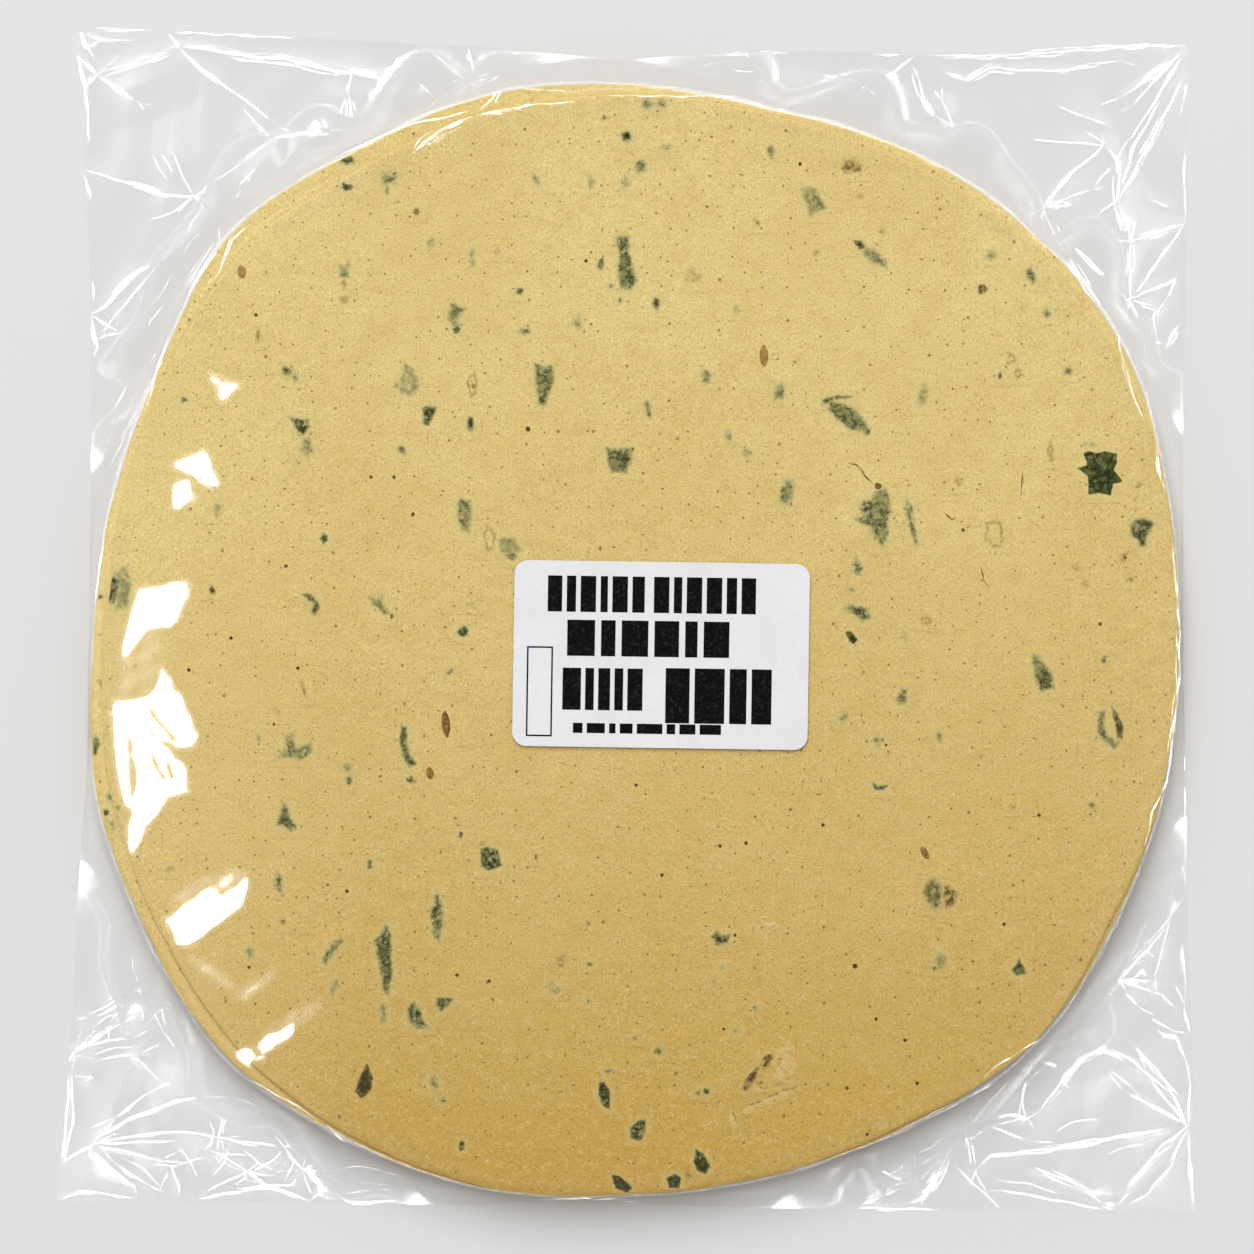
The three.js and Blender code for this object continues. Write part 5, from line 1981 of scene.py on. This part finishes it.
@dataclass
class FilmCreases:
    """Sharp pinched folds that stand on the film along its creases."""

    surface: FilmSurface
    material: Material
    steepness: float = 0.62
    fill: float = 0.48
    profile: tuple[Pair, ...] = ((-1.0, 0.0), (-0.4, 0.35), (0.2, 0.71), (0.75, 1.0), (1.0, -0.1))
    split_from: float = 2.8
    fan_from: float = 2.5
    fan_share: float = 0.5
    flutter: float = 0.45

    def strands(self, width: float, draw: random.Random) -> list[tuple[float, float, Pair]]:
        """Splits a crease into the strands that a real one is made of.

        Args:
            width: the crease's width in pixels.
            draw: the source of chance.

        Returns:
            For each strand its width and sideways shift in pixels, and the part of the line it covers.
        """
        if width < self.split_from:
            return [(width, 0.0, (0.0, 1.0))]
        found = [(width * (0.62 if width > 3.6 else 0.75), 0.0, (0.0, 1.0))]
        for index in range(1 if width < 3.6 else 2 if width < 5.5 else 3):
            start = draw.uniform(0.0, 0.35)
            side = 1.0 if index % 2 else -1.0
            found.append((draw.uniform(1.1, 1.7), side * width * draw.uniform(0.45, 0.85),
                          (start, start + draw.uniform(0.4, 0.65))))
        return found

    def fan(self, run: Array, draw: random.Random) -> list[Array]:
        """Splits a crease's ends into fine wrinkles.

        Args:
            run: the crease's corners in millimetres.
            draw: the source of chance.

        Returns:
            The wrinkles' lines, all on loose film.
        """
        found = []
        for tip, back in ((run[0], run[1]), (run[-1], run[-2])):
            heading = math.atan2(*(tip - back)[::-1])
            for side in (-1.0, 1.0):
                if draw.random() > self.fan_share:
                    continue
                turn = heading + side * math.radians(draw.uniform(6.0, 26.0))
                reach = draw.uniform(1.8, 5.5)
                bend = side * draw.uniform(-0.08, 0.12)
                steps = [(reach * part, turn + bend * part) for part in (0.0, 0.35, 0.7, 1.0)]
                line = np.array([tip + length * np.array([math.cos(way), math.sin(way)]) for length, way in steps])
                if self.surface.is_loose(line[:, 0], line[:, 1]):
                    found.append(line)
        return found

    def build(self) -> Piece:
        """Builds every fold as one piece.

        Returns:
            The piece.
        """
        bm = bmesh.new()
        bm.verts.layers.float_vector.new("lean")
        bm.verts.layers.float.new("dull")
        draw = random.Random(77)
        for index, (width, *line) in enumerate(ALL_CREASES):
            if width < self.fan_from:
                continue
            for order, wrinkle in enumerate(self.fan(to_mm(line), draw)):
                half = draw.uniform(0.45, 0.75) / PIXELS_PER_MM
                rise = half * draw.uniform(0.32, self.steepness)
                fine = Ridge(wrinkle, half, rise, 5000 + 7 * index + order, 0.6, profile=self.profile)
                fine.add(bm, self.surface.height)
        for index, (width, *line) in enumerate(ALL_CREASES):
            run = to_mm(line)
            for order, (wide, shift, part) in enumerate(self.strands(width, draw)):
                half = wide * self.fill / PIXELS_PER_MM
                ridge = Ridge(run, half, half * self.steepness, 900 + 7 * index + order, 0.58, profile=self.profile,
                              shift=shift / PIXELS_PER_MM, part=part, flutter=self.flutter)
                ridge.add(bm, self.surface.height)
        close_strips(bm)
        bmesh.ops.recalc_face_normals(bm, faces=bm.faces)
        return finish_piece(bm, "film_creases", self.material, Slot.FILM)


@dataclass(frozen=True)
class PrintBar:
    """A row of plain blocks on the label, by pixels of the photograph."""

    left: float
    top: float
    right: float
    bottom: float
    widths: tuple[float, ...]
    gap: float


PRINT_ROWS = (
    PrintBar(547, 577, 755, 613, (14, 9, 15, 7, 15, 12, 0, 15, 8, 15, 15, 10, 14), 4.5),
    PrintBar(567, 621, 729, 657, (27, 14, 26, 24, 12, 25), 6),
    PrintBar(563, 669, 643, 711, (17, 8, 11, 8, 14), 4),
    PrintBar(666, 668, 772, 723, (24, 30, 17, 20), 5),
    PrintBar(574, 724, 722, 734, (9, 17, 6, 12, 24, 8, 15, 20), 4),
)

# The thin frame beside the rows, and how wide its line is.
FRAME_BOX = (527, 648, 553, 738)
FRAME_LINE = 1.6


@dataclass
class LabelPrint:
    """The label's print: plain black blocks in rows."""

    material: Material
    turn: float = math.radians(-0.85)
    height: float = 0.02

    def build(self) -> Piece:
        """Builds the blocks as one piece.

        Returns:
            The piece.
        """
        bm = bmesh.new()
        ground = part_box("label")[1].z / MM
        for row in PRINT_ROWS:
            total = sum(row.widths) + row.gap * (len(row.widths) - 1)
            scale = (row.right - row.left) / total
            x = row.left
            for width in row.widths:
                if width:
                    self.block(bm, (x, row.top, x + width * scale, row.bottom), ground)
                x += (width + row.gap) * scale
        self.frame_mark(bm, FRAME_BOX, ground)
        bmesh.ops.recalc_face_normals(bm, faces=bm.faces)
        piece = finish_piece(bm, "label_print", self.material, Slot.LABEL_PRINT)
        for polygon in piece.data.polygons:
            polygon.use_smooth = False
        return piece

    def block(self, bm: Mesh, box: tuple[float, ...], ground: float) -> None:
        """Adds one block.

        Args:
            bm: the mesh of all blocks.
            box: left, top, right and bottom in pixels.
            ground: the label's face.
        """
        made = bmesh.ops.create_grid(bm, x_segments=1, y_segments=1, size=1.0)
        left, top, right, bottom = box
        for vert in made["verts"]:
            px = left if vert.co.x < 0 else right
            py = bottom if vert.co.y < 0 else top
            vert.co = (*self.turned(px, py), ground - 0.01)
        faces = list({face for vert in made["verts"] for face in vert.link_faces})
        rise = bmesh.ops.extrude_face_region(bm, geom=faces)["geom"]
        upper = [item for item in rise if isinstance(item, bmesh.types.BMVert)]
        bmesh.ops.translate(bm, vec=(0.0, 0.0, self.height + 0.01), verts=upper)

    def turned(self, px: float, py: float) -> tuple[float, float]:
        """Finds a pixel's place on the label, turned as the label is.

        Args:
            px: the pixel's x.
            py: the pixel's y.

        Returns:
            Its x and y in millimetres.
        """
        low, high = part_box("label")
        middle = Vector(((low.x + high.x) / 2.0 / MM, (low.y + high.y) / 2.0 / MM))
        x, y = to_mm((px, py))[0]
        # The rows are read off level, so they turn with the label about its middle.
        dx, dy = x - middle.x, y - middle.y
        cos, sin = math.cos(self.turn), math.sin(self.turn)
        return middle.x + dx * cos - dy * sin, middle.y + dx * sin + dy * cos

    def frame_mark(self, bm: Mesh, box: tuple[float, ...], ground: float) -> None:
        """Adds a thin plain frame of four bars.

        Args:
            bm: the mesh of all blocks.
            box: left, top, right and bottom in pixels.
            ground: the label's face.
        """
        left, top, right, bottom = box
        line = FRAME_LINE
        self.block(bm, (left, top, right, top + line), ground)
        self.block(bm, (left, bottom - line, right, bottom), ground)
        self.block(bm, (left, top + line, left + line, bottom - line), ground)
        self.block(bm, (right - line, top + line, right, bottom - line), ground)


@dataclass(frozen=True)
class LightPanel:
    """One soft light by its direction from the bag."""

    name: str
    azimuth: float
    from_above: float
    distance: float
    size: Pair
    radiance: float
    shine_only: bool

    def build(self) -> Piece:
        """Adds the light.

        Returns:
            The light.
        """
        data = bpy.data.lights.new(self.name, "AREA")
        data.shape = "RECTANGLE"
        data.size, data.size_y = self.size
        data.energy = self.radiance * math.pi * self.size[0] * self.size[1]
        light = bpy.data.objects.new(self.name, data)
        bpy.context.scene.collection.objects.link(light)
        tilt, turn = math.radians(self.from_above), math.radians(self.azimuth)
        place = Vector((math.sin(tilt) * math.cos(turn), math.sin(tilt) * math.sin(turn), math.cos(tilt)))
        light.location = place * self.distance
        light.rotation_euler = place.to_track_quat("Z", "Y").to_euler()
        light.visible_camera = False
        light.visible_transmission = False
        light.visible_diffuse = not self.shine_only
        light.visible_glossy = self.shine_only
        return light


WINDOW = LightPanel("window_light", 102.0, 31.0, 3.0, (1.3, 3.0), 5.9, False)
SHINE_DISTANCE = 0.8
RING_RADIANCE = (37.0, 35.5, 34.0, 36.0, 40.0, 33.0, 30.0, 33.0)
GLOW_RADIANCE = 3.0
VEIL_RADIANCE = (0.4, 0.4, 1.5, 0.4)


def shine_panels() -> list[LightPanel]:
    """Lays out the lights that only film mirrors: a bright ring, and faint ones nearer overhead.

    Returns:
        The lights.
    """
    ring = [
        LightPanel(f"shine_{index}", 45.0 * index, 40.0, SHINE_DISTANCE, (0.42, 0.44), radiance, True)
        for index, radiance in enumerate(RING_RADIANCE)
    ]
    glow = [
        LightPanel(f"glow_{index}", 45.0 * index, 23.5, SHINE_DISTANCE, (0.09, 0.26), GLOW_RADIANCE, True)
        for index in range(len(RING_RADIANCE))
    ]
    veils = [
        LightPanel(f"veil_{index}", 10.0 + 90.0 * index, 19.5, SHINE_DISTANCE, (0.28, 0.16), radiance, True)
        for index, radiance in enumerate(VEIL_RADIANCE)
    ]
    return ring + glow + veils


@dataclass
class Studio:
    """Floor, lights and camera."""

    floor_side: float = 3.0
    ambient: float = 0.45
    lens: float = 300.0
    sensor: float = 36.0
    view_width: float = 0.2158
    view_middle: Pair = (0.00004, -0.00129)
    focus_height: float = 0.0085

    def build(self) -> None:
        """Builds all that isn't part of the object."""
        self.floor()
        self.world()
        for panel in (WINDOW, *shine_panels()):
            panel.build()
        self.camera()
        scene = bpy.context.scene
        scene.view_settings.view_transform = "Standard"
        scene.cycles.transparent_max_bounces = 12
        scene.cycles.max_bounces = 4
        scene.cycles.diffuse_bounces = 2
        scene.cycles.glossy_bounces = 1
        scene.cycles.caustics_reflective = False
        scene.cycles.caustics_refractive = False

    def floor(self) -> None:
        """Adds the plain pale floor."""
        bm = bmesh.new()
        bmesh.ops.create_grid(bm, x_segments=1, y_segments=1, size=self.floor_side / 2.0)
        mesh = bpy.data.meshes.new("floor")
        bm.to_mesh(mesh)
        bm.free()
        mesh.materials.append(FloorFinish().material())
        floor = bpy.data.objects.new("floor", mesh)
        bpy.context.scene.collection.objects.link(floor)

    def world(self) -> None:
        """Sets the soft light from all around."""
        world = bpy.data.worlds.new("soft_room")
        world.use_nodes = True
        ground = world.node_tree.nodes["Background"]
        ground.inputs["Color"].default_value = (1.0, 1.0, 1.0, 1.0)
        ground.inputs["Strength"].default_value = self.ambient
        bpy.context.scene.world = world

    def camera(self) -> None:
        """Adds the camera straight above the bag."""
        data = bpy.data.cameras.new("camera")
        data.lens = self.lens
        data.sensor_width = self.sensor
        data.sensor_fit = "HORIZONTAL"
        camera = bpy.data.objects.new("camera", data)
        bpy.context.scene.collection.objects.link(camera)
        distance = self.view_width * self.lens / self.sensor
        camera.location = (*self.view_middle, self.focus_height + distance)
        bpy.context.scene.camera = camera


def corners(box: tuple[Vector, Vector]) -> list[list[float]]:
    """Returns a box's two corners as plain lists."""
    return [[float(number) for number in corner] for corner in box]


def main() -> None:
    """Builds every piece in order."""
    logging.basicConfig(level=logging.INFO, format="%(name)s: %(message)s")
    shape = StackShape()
    Studio().build()
    dough = DoughFinish().material()
    PapadumStack(shape, dough).build()
    DoughCurls(shape, dough).build()
    ChilliFlakes(shape).build()
    Seeds(shape).build()
    surface = FilmSurface(shape, BagOutline())
    film = FilmFinish().material()
    FilmBag(surface, film).build()
    clear = FilmFinish.stretched
    folds = FilmFinish("film_folds", tint=clear, edge_tint=clear, roughness=0.14)
    FilmCreases(surface, folds.material()).build()
    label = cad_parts["label"]
    label.data.materials.clear()
    label.data.materials.append(PaperFinish().material())
    LabelPrint(InkFinish().material()).build()


if __name__ == "__main__":
    main()
